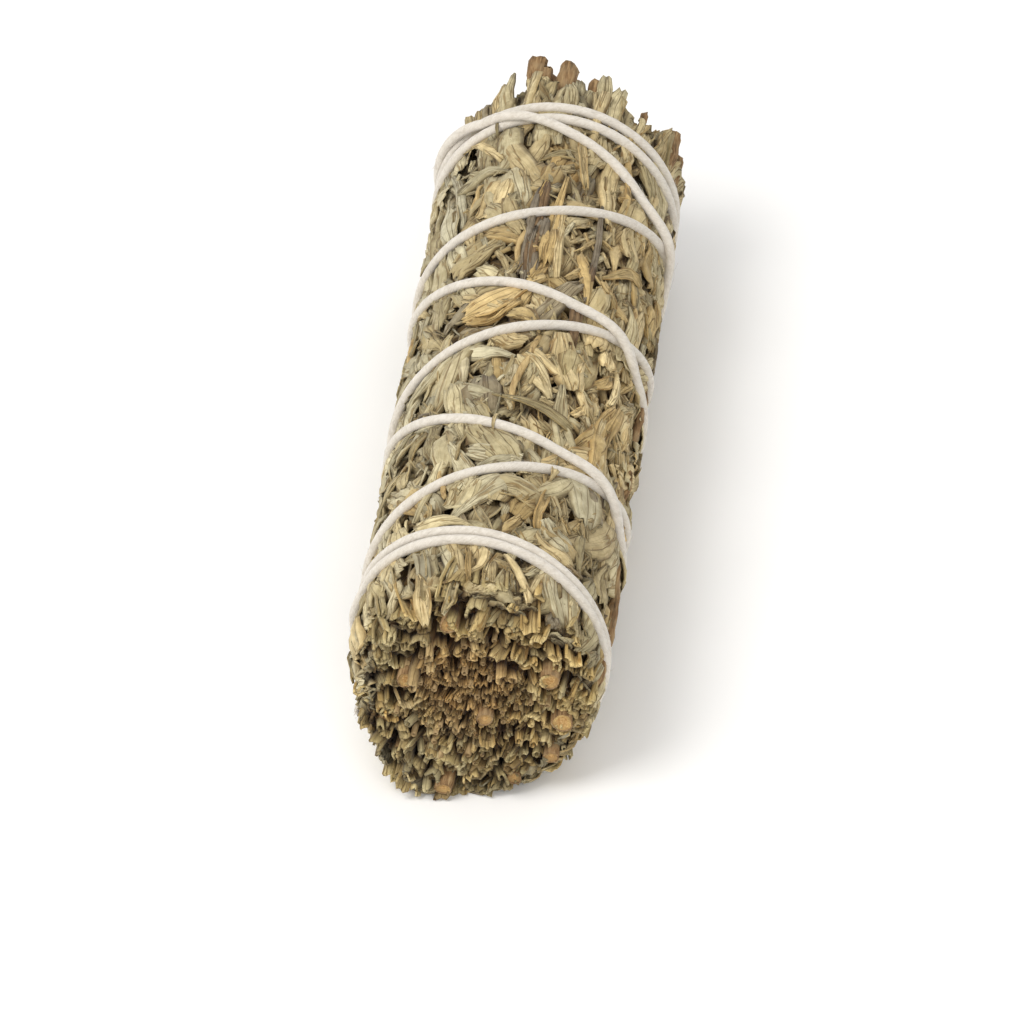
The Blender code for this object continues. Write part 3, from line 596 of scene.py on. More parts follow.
def lay_side_leaves(heaps, kinds, draw):
    """Three layers of overlapping leaves round the whole side, more loosely laid above."""
    weights = (10, 10, 10, 3, 3, 8, 9, 6, 9, 9, 3, 4, 6, 9)
    layers = (
        # least and most radius, spacing along, spacing round, spread of headings, shade, least and most size
        (13.5, 13.9, 4.6, 3.4, 22, 0.62, 1.0, 1.25),
        (14.2, 14.8, 4.0, 3.0, 26, 0.85, 0.8, 1.1),
        (14.95, 15.7, 4.1, 3.1, 28, 1.0, 0.6, 1.05),
    )
    for low, high, along_step, round_step, spread, shade, small, large in layers:
        rings = round(LENGTH / along_step)
        per_ring = round(2 * math.pi * 15.5 / round_step)
        for ring in range(rings + 1):
            for i in range(per_ring):
                along = -LENGTH / 2 + LENGTH * (ring + draw.uniform(-0.5, 0.5)) / rings
                angle = 2 * math.pi * (i + 0.5 * (ring % 2) + draw.uniform(-0.5, 0.5)) / per_ring
                on_top = low == layers[-1][0]
                if on_top and hand_laid_near(angle, along):
                    continue
                kind = draw.choices(kinds, weights)[0]
                size = draw.uniform(small, large)
                flat = 1
                if on_top and draw.random() < 0.16:
                    kind = kinds[draw.choice((0, 1, 2, 8, 9))]
                    size = draw.uniform(1.05, 1.4)
                    flat = 0.6
                loose = 1.25 - 0.5 * smooth_step(-0.2, 0.6, math.cos(angle) + 0.012 * along)
                calm = 1 - 0.65 * smooth_step(37, 45, abs(along))
                lean = 10 * math.sin(angle * 2 + along / 12)
                heading = math.radians(draw.gauss(lean, spread * loose) * calm)
                if draw.random() < 0.12 * loose and abs(along) < 38:
                    heading += math.radians(draw.choice((-60, 60, 85)))
                if draw.random() < 0.5:
                    heading += math.pi
                base = draw.uniform(low, high)
                laid = lay_on_side(
                    kind[0], draw, angle, along, heading, base, draw.uniform(-0.15, 0.55),
                    size, flat, draw.gauss(0, 0.14), draw.gauss(0.1, 0.32),
                )
                # Painted shade: the lower layers' leaves are given darker colours.
                tint = leaf_tint(draw, angle, along, shade)
                heaps[sprig_at(angle)].add(kind, laid, tint, draw.uniform(0, 7))


def end_reach(angle, rho, end):
    """How far the trimmed ends reach along the bunch, at a distance rho from its axis."""
    dome = math.cos(min(rho, 15.5) / 15.5 * math.pi / 2)
    if end < 0:
        lean = 2.4 * max(0, math.cos(angle + 1.9)) ** 2 - 0.7 * max(0, math.cos(angle + 0.7)) ** 2
        return 50.5 + 1.9 * dome + (lean - 2.0 * math.sin(angle)) * rho / 15
    rim = np.interp(math.degrees(angle), *zip(*FAR_RIM), period=360)
    return rim + (53 - rim) * (1 - min(rho / 15, 1)) + 0.6 * dome


def lay_end_leaves(heaps, kinds, broad_kinds, draw, end):
    """Trimmed leaf ends packed over one end, finer in the middle and leaning outwards at the rim."""
    near = end < 0
    outer, inner = (400, 330) if near else (300, 240)
    rim_from, rim_to, middle_to = 6.2, 15.2, 7.4
    middle_colour, middle_share, middle_reach = (NEAR_MIDDLE, 0.75, 11) if near else (FAR_MIDDLE, 0.5, 9.5)
    for i in range(outer + inner):
        at_rim = i < outer
        if at_rim:
            rho = math.sqrt(rim_from**2 + (rim_to**2 - rim_from**2) * (i + 0.5) / outer)
            rho += draw.uniform(-0.3, 0.3)
        else:
            rho = middle_to * math.sqrt((i - outer + 0.5) / inner)
        angle = i * GOLDEN_TURN + draw.uniform(-0.15, 0.15)
        kind = draw.choices(kinds, (9, 10, 5, 5, 8, 8, 9, 8))[0]
        broad = not near and at_rim and draw.random() < 0.6
        hooded = near and at_rim and math.sin(angle + 0.2) > 0.15 and draw.random() < 0.5
        if broad or hooded:
            kind = draw.choice(broad_kinds)
        if at_rim:
            size = draw.uniform(0.75, 1.35) * (0.72 + 0.28 * smooth_step(6, 12, rho))
        else:
            size = draw.uniform(0.34, 0.62)
        if broad:
            size *= 1.15
        uneven = draw.uniform(-1.0, 1.2) + 0.8 * patchiness(angle, rho * 3, 2.0 + end)
        reach = end_reach(angle, rho, end) + uneven * (1.0 if at_rim else 0.6)
        if not near:
            reach += max(0, draw.gauss(0.2, 1.0))
        if hooded:
            reach += draw.uniform(0.2, 2.4)
        x, y, z = kind[0].T
        x, z = turned(size * x, size * z, draw.gauss(0, 0.95 if rho > 8 else 1.6))
        length = draw.uniform(8, 11)
        out = y / BLANK_LENGTH * length
        past_middle = out - 0.5 * length
        fan = (0.01 + 0.26 * (rho / OUTER_RADIUS) ** 1.5) * draw.uniform(0.1, 1.5) * (1 if near else 0.5)
        sideways = x + draw.gauss(0, 0.19) * past_middle
        bow = draw.gauss(0, 0.6) * np.sin(out / length * math.pi)
        flat_x, flat_z = turned(rho - 0.5 + fan * past_middle - z + bow, sideways, angle)
        laid = place(np.hypot(flat_x, flat_z), np.arctan2(flat_z, flat_x), end * (reach - length + out))
        tint = leaf_tint(draw, angle, end * 50, draw.uniform(0.55, 1.04) if near else 0.92)
        if hooded:
            tint = tint * 1.12
        off_middle = rho
        if near:
            across, up = rho * math.cos(angle), rho * math.sin(angle)
            off_middle = math.hypot(across + 1.2, up - 2.4)
            tint = tint * (1.0, 0.94, 0.77) * (1.14 - 0.18 * smooth_step(5, 12, rho))
            tint = tint * (1 + 0.2 * smooth_step(4, 13, across))
        in_middle = 1 - smooth_step(3, middle_reach, off_middle + draw.uniform(-1.2, 1.2))
        tint = tint + (middle_colour * draw.uniform(0.65, 1.3) - tint) * middle_share * in_middle
        cut = smooth_step(length - 0.6, length, out)[:, None]
        heap = heaps[sprig_at(angle) if rho > 5.5 else 0]
        heap.add(kind, laid, tint * (1 + 0.18 * cut), draw.uniform(0, 7), mirrored=near)


def lay_crumbs(heaps, kinds, draw, amount):
    """Small crumpled bits and thin shreds of leaf, in drifts between the larger leaves."""
    for _ in range(amount):
        angle = draw.uniform(0, 2 * math.pi)
        along = draw.uniform(-44, 45)
        if patchiness(angle, along * 1.7, 7.0) < draw.uniform(-0.9, 0.4):
            continue
        kind = draw.choice(kinds)
        points = kind[0] * ((0.42, 0.27, 0.4) if draw.random() < 0.9 else (0.24, 0.6, 0.24))
        heading = draw.gauss(0, 0.8)
        base = draw.uniform(14.9, 15.5)
        laid = lay_on_side(
            points, draw, angle, along, heading, base, 0.1,
            draw.uniform(0.7, 1.3), 1, draw.gauss(0, 0.6), 0.2,
        )
        tint = leaf_tint(draw, angle, along, draw.uniform(0.8, 1.15))
        heaps[sprig_at(angle)].add(kind, laid, tint, draw.uniform(0, 7))


LAID_BY_HAND = (
    # kind, (degrees, mm) at the base, (degrees, mm) at the tip, width, colour, height
    (3, (92.8, 11.5), (92.4, 30), 0.7, WEATHERED, 16.0),
    (13, (90.8, 13), (89.6, 31.5), 0.7, BROWN, 16.0),
    (7, (91.8, 9.5), (90.6, 22), 0.5, WEATHERED, 16.1),
    (13, (88.6, 12), (87.5, 24), 0.8, WEATHERED, 15.9),
    (4, (96.5, 13), (95, 26), 0.9, WEATHERED, 15.8),
    (1, (80, 33), (84, 14.5), 0.62, OCHRE, 16.0),
    (13, (83, 22), (88, 11.5), 0.8, OCHRE, 15.9),
    (5, (77, 13), (79, 27), 0.9, STRAW, 15.8),
    (11, (60, 8.5), (67, 19), 0.9, OCHRE, 15.9),
    (4, (62, 9.8), (60.6, 29.5), 0.8, WEATHERED, 15.95),
    (13, (63.9, 0.4), (61.6, 17), 0.7, BROWN, 15.95),
    (0, (90, -4.6), (118, -1.5), 0.95, PALE_SAGE, 16.2),
    (8, (79, -24.2), (104, -23.2), 0.75, PALE_SAGE, 16.2),
    (13, (42, -21.5), (34, -5), 1.25, OCHRE, 16.1),
    (5, (35, -24), (40, -9), 1.0, STRAW, 15.9),
    (9, (119, 25.5), (109, 33), 0.9, STRAW, 16.1),
    (13, (92, 7), (118, 3.6), 0.95, OCHRE, 16.0),
    (6, (98, 5), (121, 9), 0.9, STRAW, 16.0),
    (8, (86, -1.6), (102, 0.8), 0.8, STRAW, 16.1),
    (10, (98, -12), (57, -15.4), 0.8, OLIVE, 16.2),
    (7, (79, -42.6), (64, -49.5), 0.9, STRAW, 16.0),
    (9, (66, -36.4), (44, -38.6), 0.9, STRAW, 16.0),
    (8, (64, -34.0), (50, -37.4), 0.8, PALE_SAGE, 16.0),
    (5, (147, -14), (141, -4.5), 1.0, PALE_SAGE, 15.9),
    (2, (152, 41.5), (137, 24), 1.1, GREY_SAGE, 15.9),
    (3, (146, 40), (131, 26), 1.0, GREY_SAGE, 15.9),
    (7, (138, 45), (113, 37), 1.0, STRAW, 15.9),
    (12, (70, 32), (76, 43), 1.0, STRAW, 15.9),
    (4, (48, 30), (52, 43), 1.1, OCHRE, 15.9),
    (13, (55, 27), (58, 41), 1.0, STRAW, 15.8),
    (3, (24, -34), (20, -20), 1.1, STRAW, 15.8),
    (5, (28, 2), (22, 18), 1.1, STRAW, 15.9),
    (11, (128, -34), (118, -22), 1.0, SAGE, 15.9),
    (9, (108, -34), (99, -28), 0.9, SAGE, 16.0),
    (1, (124, 11), (134, 22), 1.0, PALE_SAGE, 15.9),
    (0, (108, -20), (118, -9), 1.0, SAGE, 15.9),
    (1, (66, -8), (58, -20), 1.0, SAGE, 15.9),
    (8, (70, 2), (60, -8), 1.0, STRAW, 15.9),
    (12, (100, -47), (104, -52.5), 1.1, SAGE, 15.6),
    (10, (120, -45), (114, -53), 1.2, STRAW, 15.6),
    (11, (118, 57.2), (116.5, 46.5), 1.3, SAGE, 15.2),
    (11, (123.5, 55.8), (123, 46), 1.1, STRAW, 15.2),
    (5, (27, 46), (26, 55), 1.0, STRAW, 15.4),
    (6, (70, 46), (70, 55.4), 1.0, SAGE, 15.2),
    (5, (60, 46), (60, 54.6), 1.1, SAGE, 15.2),
)
OVER_THE_STRING = (
    # the same, with a height of 0: these follow the string's own height
    (3, (94.5, -19.0), (92.3, -16.0), 0.28, STRAW, 0),
    (2, (64.6, -27.0), (62.6, -23.9), 0.3, STRAW, 0),
    (3, (119.2, 45.9), (118, 42.5), 0.28, OLIVE, 0),
)


def lay_by_hand(heaps, kinds, draw):
    """Single leaves in chosen places, between and over the turns of string."""
    for number, base, tip, width, colour, height in LAID_BY_HAND + OVER_THE_STRING:
        middle, along, turn, rise = leaf_span(base, tip)
        length = math.hypot(turn, rise)
        x, y, z = (kinds[number][0] * (width, length / BLANK_LENGTH, width)).T
        y = y - length / 2
        round_bunch, lengthwise = turned(x, y, -math.atan2(turn, rise))
        if height:
            radius = height + z - 0.35
        else:
            radius = 15.5 + 0.4 * z + 1.05 * np.maximum(np.cos(y / length * math.pi), 0) ** 0.5
        laid = place(radius, middle + round_bunch / LEAF_SEAT, along + lengthwise)
        tint = np.array(colour) * draw.uniform(0.92, 1.08)
        heaps[sprig_at(middle)].add(kinds[number], laid, tint, draw.uniform(0, 7), free=not height)


# Shader work


class Value:
    """A number from a shader socket. The operators that are used on it add Math nodes."""

    def __init__(self, finish, socket):
        self.finish = finish
        self.socket = socket

    def maths(self, operation, first, second=0.0):
        return self.finish.node("ShaderNodeMath", {"operation": operation}, {0: first, 1: second})

    def __add__(self, other):
        return self.maths("ADD", self, other)

    def __mul__(self, other):
        return self.maths("MULTIPLY", self, other)

    def __sub__(self, other):
        return self.maths("SUBTRACT", self, other)

    def __rsub__(self, other):
        return self.maths("SUBTRACT", other, self)

    def __abs__(self):
        return self.maths("ABSOLUTE", self)

    __radd__ = __add__
    __rmul__ = __mul__


class Finish:
    """A node material that is built up one node at a time."""

    def __init__(self, name, roughness=0.9, sheen=0.0):
        self.material = bpy.data.materials.new(name)
        self.material.use_nodes = True
        self.tree = self.material.node_tree
        self.shader = self.tree.nodes["Principled BSDF"]
        self.shader.inputs["Roughness"].default_value = roughness
        self.shader.inputs["Specular IOR Level"].default_value = 0.25
        if sheen:
            self.shader.inputs["Sheen Weight"].default_value = sheen
            self.shader.inputs["Sheen Roughness"].default_value = 0.6

    def node(self, kind, settings=None, inputs=None, out=0):
        """Adds a node, sets it up, joins its inputs and returns one of its outputs."""
        made = self.tree.nodes.new(kind)
        for key, value in (settings or {}).items():
            if key == "stops":
                ramp = made.color_ramp
                while len(ramp.elements) < len(value):
                    ramp.elements.new(0.5)
                for element, (position, colour) in zip(ramp.elements, value):
                    element.position = position
                    element.color = (*colour, 1)
            else:
                setattr(made, key, value)
        for key, value in (inputs or {}).items():
            self.join(value, made.inputs[key])
        return Value(self, made.outputs[out])

    def join(self, value, socket):
        if isinstance(value, Value):
            self.tree.links.new(value.socket, socket)
        else:
            socket.default_value = value

    def mix(self, factor, first, second, blend="MIX"):
        """Mixes two colours."""
        made = self.tree.nodes.new("ShaderNodeMix")
        made.data_type = "RGBA"
        made.blend_type = blend
        for value, socket in ((factor, made.inputs[0]), (first, made.inputs[6]), (second, made.inputs[7])):
            if isinstance(value, tuple) and len(value) == 3:
                value = (*value, 1)
            self.join(value, socket)
        return Value(self, made.outputs[2])

    def read(self, name, out="Vector"):
        """What a piece stores at each point under this name."""
        return self.node("ShaderNodeAttribute", {"attribute_name": name}, out=out)

    def object_place(self):
        return self.node("ShaderNodeTexCoord", out="Object")

    def scaled(self, vector, scale):
        return self.node("ShaderNodeVectorMath", {"operation": "MULTIPLY"}, {0: vector, 1: scale})

    def noise(self, vector, scale, detail, roughness):
        inputs = {"Vector": vector, "Scale": scale, "Detail": detail, "Roughness": roughness}
        return self.node("ShaderNodeTexNoise", {}, inputs, "Fac")

    def range(self, value, low, high):
        """0 below low, 1 above high, with a smooth rise between."""
        inputs = {"Value": value, "From Min": low, "From Max": high}
        return self.node("ShaderNodeMapRange", {"interpolation_type": "SMOOTHSTEP"}, inputs)

    def surface(self, colour, height=None, strength=0.5, distance=0.0002):
        self.join(colour, self.shader.inputs["Base Color"])
        if height is not None:
            inputs = {"Strength": strength, "Distance": distance, "Height": height}
            self.join(self.node("ShaderNodeBump", {}, inputs), self.shader.inputs["Normal"])
        return self.material


def dried_leaf():
    """Felted dry leaf: its tint, which carries painted shade, mottled, with lengthwise wrinkles and creases
    darkened as painted shade.
    """
    finish = Finish("dried_sage_leaf", 0.9, 0.08)
    tint = finish.read("tint", "Color")
    blade = finish.read("blade")
    place_on = finish.object_place()
    across = finish.node("ShaderNodeSeparateXYZ", {}, {0: blade}, "X")
    wrinkles = finish.noise(finish.scaled(blade, (2.3, 0.9, 3.0)), 1.0, 2.0, 0.45)
    fine = finish.noise(finish.scaled(blade, (6.5, 2.2, 3.0)), 1.0, 2.0, 0.5)
    mottle = finish.noise(place_on, 600.0, 4.0, 0.6)
    felt = finish.noise(place_on, 4200.0, 2.0, 0.6)
    # Painted shade: the two crease masks darken the colour in the wrinkles, as well as shaping the bump.
    crease = finish.range(abs(wrinkles - 0.49), 0.0, 0.03)
    fine_crease = finish.range(abs(fine - 0.5), 0.0, 0.05)
    edge = finish.range(abs(across), 0.72, 1.0)
    plain = (1.0, 1.0, 1.0)
    colour = tint
    for mask, low, high in (
        (crease, (0.60, 0.51, 0.40), plain),
        (fine_crease, (0.90, 0.87, 0.82), plain),
        (edge, plain, (0.74, 0.68, 0.58)),
        (finish.range(mottle, 0.38, 0.66), (0.84, 0.82, 0.78), (1.13, 1.13, 1.13)),
    ):
        colour = finish.mix(1.0, colour, finish.mix(mask, low, high), "MULTIPLY")
    speck = finish.range(finish.noise(place_on, 2000.0, 2.0, 0.5), 0.68, 0.74)
    colour = finish.mix(speck * 0.45, colour, (0.15, 0.10, 0.055))
    height = crease * 0.8 + fine_crease * 0.16 + wrinkles * 1.3 + felt * 0.16 - edge * 0.5
    return finish.surface(colour, height, 0.8, 0.0003)


def grained(name, roughness, scale, detail, coarse, *stops):
    """A finish coloured by one noise. Returns it, its coordinates, the noise and the colour."""
    finish = Finish(name, roughness)
    place_on = finish.object_place()
    if isinstance(scale, tuple):
        grain = finish.noise(finish.scaled(place_on, scale), 1.0, detail, coarse)
    else:
        grain = finish.noise(place_on, scale, detail, coarse)
    colour = finish.node("ShaderNodeValToRGB", {"stops": stops}, {0: grain}, "Color")
    return finish, place_on, grain, colour


def bark():
    """Brown bark with lengthwise streaks and paler scuffs."""
    finish, place_on, streaks, colour = grained(
        "woody_bark", 0.8, (2600.0, 260.0, 2600.0), 4.0, 0.6,
        (0.3, (0.06, 0.033, 0.014)), (0.5, (0.24, 0.14, 0.062)), (0.72, (0.45, 0.31, 0.155)),
    )
    blotch = finish.noise(place_on, 420.0, 3.0, 0.5)
    colour = finish.mix(finish.range(blotch, 0.45, 0.7) * 0.5, colour, (0.33, 0.24, 0.13))
    return finish.surface(colour, streaks + blotch * 0.4, 0.6)


def stalk_skin():
    """Tan dry stalks with darker streaks."""
    finish, _, streaks, colour = grained(
        "dry_leaf_stalk", 0.85, (2400.0, 400.0, 2400.0), 3.0, 0.6,
        (0.3, (0.13, 0.08, 0.036)), (0.52, (0.34, 0.235, 0.115)), (0.75, (0.52, 0.38, 0.20)),
    )
    return finish.surface(colour, streaks, 0.6)


def twig_skin():
    """Straw-coloured young twig with fine streaks and dark scars."""
    finish, place_on, streaks, colour = grained(
        "straw_twig", 0.75, (2400.0, 300.0, 2400.0), 3.0, 0.6,
        (0.32, (0.26, 0.17, 0.075)), (0.52, (0.50, 0.36, 0.165)), (0.75, (0.64, 0.49, 0.25)),
    )
    scars = finish.range(finish.noise(place_on, 650.0, 2.0, 0.5), 0.62, 0.7)
    colour = finish.mix(scars * 0.6, colour, (0.13, 0.08, 0.04))
    return finish.surface(colour, streaks, 0.5, 0.00015)


def cut_wood():
    """Pale cut end grain with darker stains."""
    finish, place_on, grain, colour = grained(
        "cut_stem_wood", 0.85, 3500.0, 3.0, 0.6, (0.3, (0.38, 0.22, 0.075)), (0.66, (0.63, 0.44, 0.175))
    )
    stain = finish.range(finish.noise(place_on, 1100.0, 3.0, 0.6), 0.46, 0.64)
    colour = finish.mix(stain * 0.55, colour, (0.31, 0.185, 0.08))
    rough = finish.range(finish.noise(place_on, 170.0, 1.0, 0.5), 0.42, 0.58)
    colour = finish.mix(rough * 0.6, colour, (0.27, 0.16, 0.07))
    return finish.surface(colour, grain, 0.6)


def pith():
    """Soft brown middle of a cut stem."""
    finish, _, _, colour = grained(
        "stem_pith", 0.9, 4200.0, 2.0, 0.5, (0.35, (0.34, 0.18, 0.06)), (0.7, (0.55, 0.36, 0.15))
    )
    return finish.surface(colour)


def cotton():
    """Soft off-white cotton yarn with faint twisted strands and fibres."""
    finish = Finish("soft_cotton_yarn", 0.95, 0.35)
    fibres = finish.noise(finish.scaled(finish.read("yarn"), (9.0, 0.9, 1.0)), 1.0, 3.0, 0.6)
    fluff = finish.noise(finish.object_place(), 1500.0, 3.0, 0.6)
    shade = finish.range(fibres * 0.6 + fluff * 0.4, 0.35, 0.62)
    colour = finish.mix(shade, (0.57, 0.52, 0.445), (0.70, 0.655, 0.585))
    return finish.surface(colour, fibres * 0.5 + fluff * 0.6, 0.4)


def crumbled_leaf():
    """Broken leaf deep inside the bunch, near black: painted shade."""
    # Near-black colours: painted shade for the leaves deep inside.
    finish, _, grain, colour = grained(
        "shade_dark_inner_leaf", 0.95, 1400.0, 4.0, 0.65, (0.35, (0.018, 0.012, 0.006)), (0.7, (0.09, 0.065, 0.035))
    )
    return finish.surface(colour, grain, 0.8, 0.0004)


# Tubes


def ring_angles(sides):
    return np.arange(sides) / sides * 2 * math.pi


def band(first, second, sides):
    """The faces between two rings of points, which start at the given numbers."""
    return [
        (first + k, first + (k + 1) % sides, second + (k + 1) % sides, second + k)
        for k in range(sides)
    ]


def sweep(points, radii, sides, spin=0.0):
    """A closed tube along points in mm. Returns its points, its faces and its yarn places."""
    points = np.asarray(points, float)
    tangents = np.gradient(points, axis=0)
    tangents /= np.linalg.norm(tangents, axis=1, keepdims=True)
    travelled = np.append(0, np.cumsum(np.linalg.norm(np.diff(points, axis=0), axis=1)))
    turns = ring_angles(sides)
    side = np.cross(tangents[0], (0.3, 0.2, 1.0))
    rings = []
    yarn = []
    for point, tangent, radius, length in zip(points, tangents, radii, travelled):
        side = side - tangent * np.dot(side, tangent)
        side /= np.linalg.norm(side)
        outwards = np.outer(np.cos(turns), side) + np.outer(np.sin(turns), np.cross(tangent, side))
        rings.append(point + np.broadcast_to(radius, sides)[:, None] * outwards)
        lay = turns + 2 * math.pi * spin * length
        yarn.append(np.stack((np.cos(lay), np.full(sides, length), np.sin(lay)), -1))
    faces = []
    for start in range(0, (len(points) - 1) * sides, sides):
        faces.extend(band(start, start + sides, sides))
    faces.append(tuple(range(sides))[::-1])
    faces.append(tuple(range((len(points) - 1) * sides, len(points) * sides)))
    return np.concatenate(rings), faces, np.concatenate(yarn)


def tube_piece(name, tubes):
    """Makes one object of several swept tubes."""
    faces = []
    total = 0
    for points, tube_faces, _ in tubes:
        faces.extend(tuple(i + total for i in face) for face in tube_faces)
        total += len(points)
    points, _, yarns = zip(*tubes)
    return make_piece(name, np.concatenate(points), faces, yarn=np.concatenate(yarns))


def yarn_tube(path, step, radius=STRING_RADIUS, lay=5.5, flare=1.0):
    """A tube of three strands that are twisted together, one turn in each lay, in mm."""
    travelled = np.arange(len(path))[:, None] * step
    turns = ring_angles(YARN_SIDES)[None, :]
    strands = np.abs(np.cos(1.5 * (turns - 2 * math.pi * travelled / lay)))
    swell = 0.03 * np.sin(travelled / 3.7) + 0.025 * np.sin(travelled / 1.3 + 1)
    return sweep(path, radius * (0.97 + 0.04 * strands + swell) * flare, YARN_SIDES, YARN_SPIN)


def wound_string(route):
    """The turns of string, the two tails and the knot between them."""
    tubes = [yarn_tube(route, np.linalg.norm(route[1] - route[0]))]
    for side in (-1, 1):
        path = tail_path(side)
        flare = 1 + 0.35 * smooth_step(20, 25, np.arange(len(path)))[:, None]
        tubes.append(yarn_tube(path, 0.34, flare=flare))
    turn = np.linspace(0, 2 * math.pi, 60)
    loop_round = 0.62 * (np.sin(turn) + 1.5 * np.sin(2 * turn))
    loop_along = 0.62 * (np.cos(turn) - 1.5 * np.cos(2 * turn))
    height = STRING_SEAT + 0.75 + 0.55 * np.sin(3 * turn)
    knot = place(height, KNOT_ANGLE + loop_round / OUTER_RADIUS, KNOT_ALONG + loop_along)
    tubes.append(yarn_tube(knot, 0.2, 0.6, 4))
    return tube_piece("wound_cotton_string", tubes)


def string_fluff(route, draw, amount):
    """Loose cotton fibres that stand off the string and fray from its tails."""
    fibres = []

    def add_fibre(line, radii):
        """Adds a fibre that stays above the floor."""
        fibres.append(sweep([(x, y, max(z, 0.05)) for x, y, z in line], radii, 3))

    tangents = np.gradient(route, axis=0)
    for _ in range(amount):
        i = draw.randrange(5, len(route) - 5)
        tangent = tangents[i] / np.linalg.norm(tangents[i])
        away = np.array([draw.gauss(0, 1) for _ in range(3)])
        away -= tangent * np.dot(away, tangent)
        away /= np.linalg.norm(away)
        bend = np.cross(tangent, away) * draw.gauss(0, 0.5) + tangent * draw.gauss(0, 1.2)
        length = draw.uniform(0.35, 1.1)
        start = route[i] + away * STRING_RADIUS * 0.9
        steps = (0, 0.35, 0.7, 1)
        line = [start + length * (away * (0.45 - 0.3 * s) * s + bend * s * s) for s in steps]
        add_fibre(line, (0.028, 0.026, 0.02, 0.008))
    for side in (-1, 1):
        path = tail_path(side)
        ahead = path[-1] - path[-4]
        ahead /= np.linalg.norm(ahead)
        for _ in range(150):
            start = path[-2] + np.array([draw.gauss(0, 0.3) for _ in range(3)])
            spread = np.array([draw.gauss(0, 0.28) for _ in range(3)])
            length = draw.uniform(0.5, 1.5)
            line = [start + (ahead * s + spread * s * s) * length for s in (0, 0.4, 0.75, 1)]
            add_fibre(line, (0.07, 0.06, 0.05, 0.02))
    return tube_piece("string_fluff", fibres)


# Stems and twigs


def smooth_line(points, per_span):
    """More points on a smooth curve through the given ones."""
    points = np.asarray(points, float)
    ends = np.concatenate(([2 * points[0] - points[1]], points, [2 * points[-1] - points[-2]]))
    line = []
    for i in range(len(points) - 1):
        a, b, c, d = ends[i : i + 4]
        for k in range(per_span):
            t = k / per_span
            curve = (2 * a - 5 * b + 4 * c - d) * t**2 + (3 * b - a - 3 * c + d) * t**3
            line.append(0.5 * (2 * b + (c - a) * t + curve))
    line.append(points[-1])
    return np.array(line)


def stem_points(near, far, near_reach, far_reach):
    """Points along a stem from end to end, kept inside the leaves between its ends."""
    shares = (0, 0.12, 0.35, 0.65, 0.88, 1)
    points = []
    for i, share in enumerate(shares):
        angle = math.radians(near[0] + (far[0] - near[0]) * share)
        radius = near[1] + (far[1] - near[1]) * share
        if 0 < i < len(shares) - 1:
            radius = min(radius, 10.4)
        along = -LENGTH / 2 - near_reach + (LENGTH + near_reach + far_reach) * share
        points.append(place(radius, angle, along))
    return points


def stem_and_twig(key):
    """A sprig's woody stem with its side twig, along nearly the same lines as in the part."""
    (thick, near, far, near_reach, far_reach), (thin, twig_end, side, twig_reach) = STEMS[key]
    stem = stem_points(near, far, near_reach, far_reach)
    end = 1 if side == "far" else -1
    fork = stem[3] if end > 0 else stem[2]
    tip = place(twig_end[1], math.radians(twig_end[0]), end * (LENGTH / 2 + twig_reach))
    bend = (fork + tip) / 2 + (tip - fork) * (0.15, 0, 0.15)
    parts = []
    for line, radius in ((stem, thick), ((fork, bend, tip), thin)):
        path = smooth_line(line, 9 if line is stem else 14)
        travelled = np.linspace(0, 1, len(path))
        knots = 1 + 0.09 * np.maximum(0, np.sin(travelled * 60 + thick * 9)) ** 6
        turns = ring_angles(STEM_SIDES)
        ribs = 0.06 * np.sin(2 * turns + thick * 9) + 0.05 * np.sin(3 * turns + thick * 23)
        ribs = ribs + 0.03 * np.sin(5 * turns)
        wobble = 0.03 * np.sin(2.1 * np.arange(len(path)) + thick * 5)
        radii = radius * (knots + wobble)[:, None] * (1.04 + ribs[None, :])
        parts.append(sweep(path, radii, STEM_SIDES))
    return tube_piece("sprig_" + key + "_woody_stem", parts)


def dress_cut_ends(obj, finishes):
    """Insets the cut faces of a stem twice, for the bark's rim, the wood and the pith."""
    for finish in finishes:
        obj.data.materials.append(finish)
    bpy.ops.object.select_all(action="DESELECT")
    bpy.context.view_layer.objects.active = obj
    obj.select_set(True)
    bpy.ops.object.mode_set(mode="EDIT")
    bpy.ops.mesh.select_mode(type="FACE")
    bm = bmesh.from_edit_mesh(obj.data)
    bpy.ops.mesh.select_all(action="DESELECT")
    for face in bm.faces:
        along = face.calc_center_median().y / MM - SHIFT[1]
        if len(face.verts) == STEM_SIDES and abs(along) > 46:
            face.select = True
    bmesh.update_edit_mesh(obj.data)
    bpy.ops.mesh.inset(thickness=0.17 * MM, depth=0)
    obj.active_material_index = 1
    bpy.ops.object.material_slot_assign()
    bpy.ops.mesh.extrude_region_move(TRANSFORM_OT_translate={"value": (0, 0, 0)})
    bm = bmesh.from_edit_mesh(obj.data)
    for face in (f for f in bm.faces if f.select):
        inward = -face.normal * 0.12 * MM
        for vertex in face.verts:
            vertex.co += inward
    bmesh.update_edit_mesh(obj.data)
    bpy.ops.mesh.inset(thickness=0.45 * MM, depth=-0.1 * MM)
    obj.active_material_index = 2
    bpy.ops.object.material_slot_assign()
    bpy.ops.mesh.select_mode(type="VERT")
    bpy.ops.object.mode_set(mode="OBJECT")


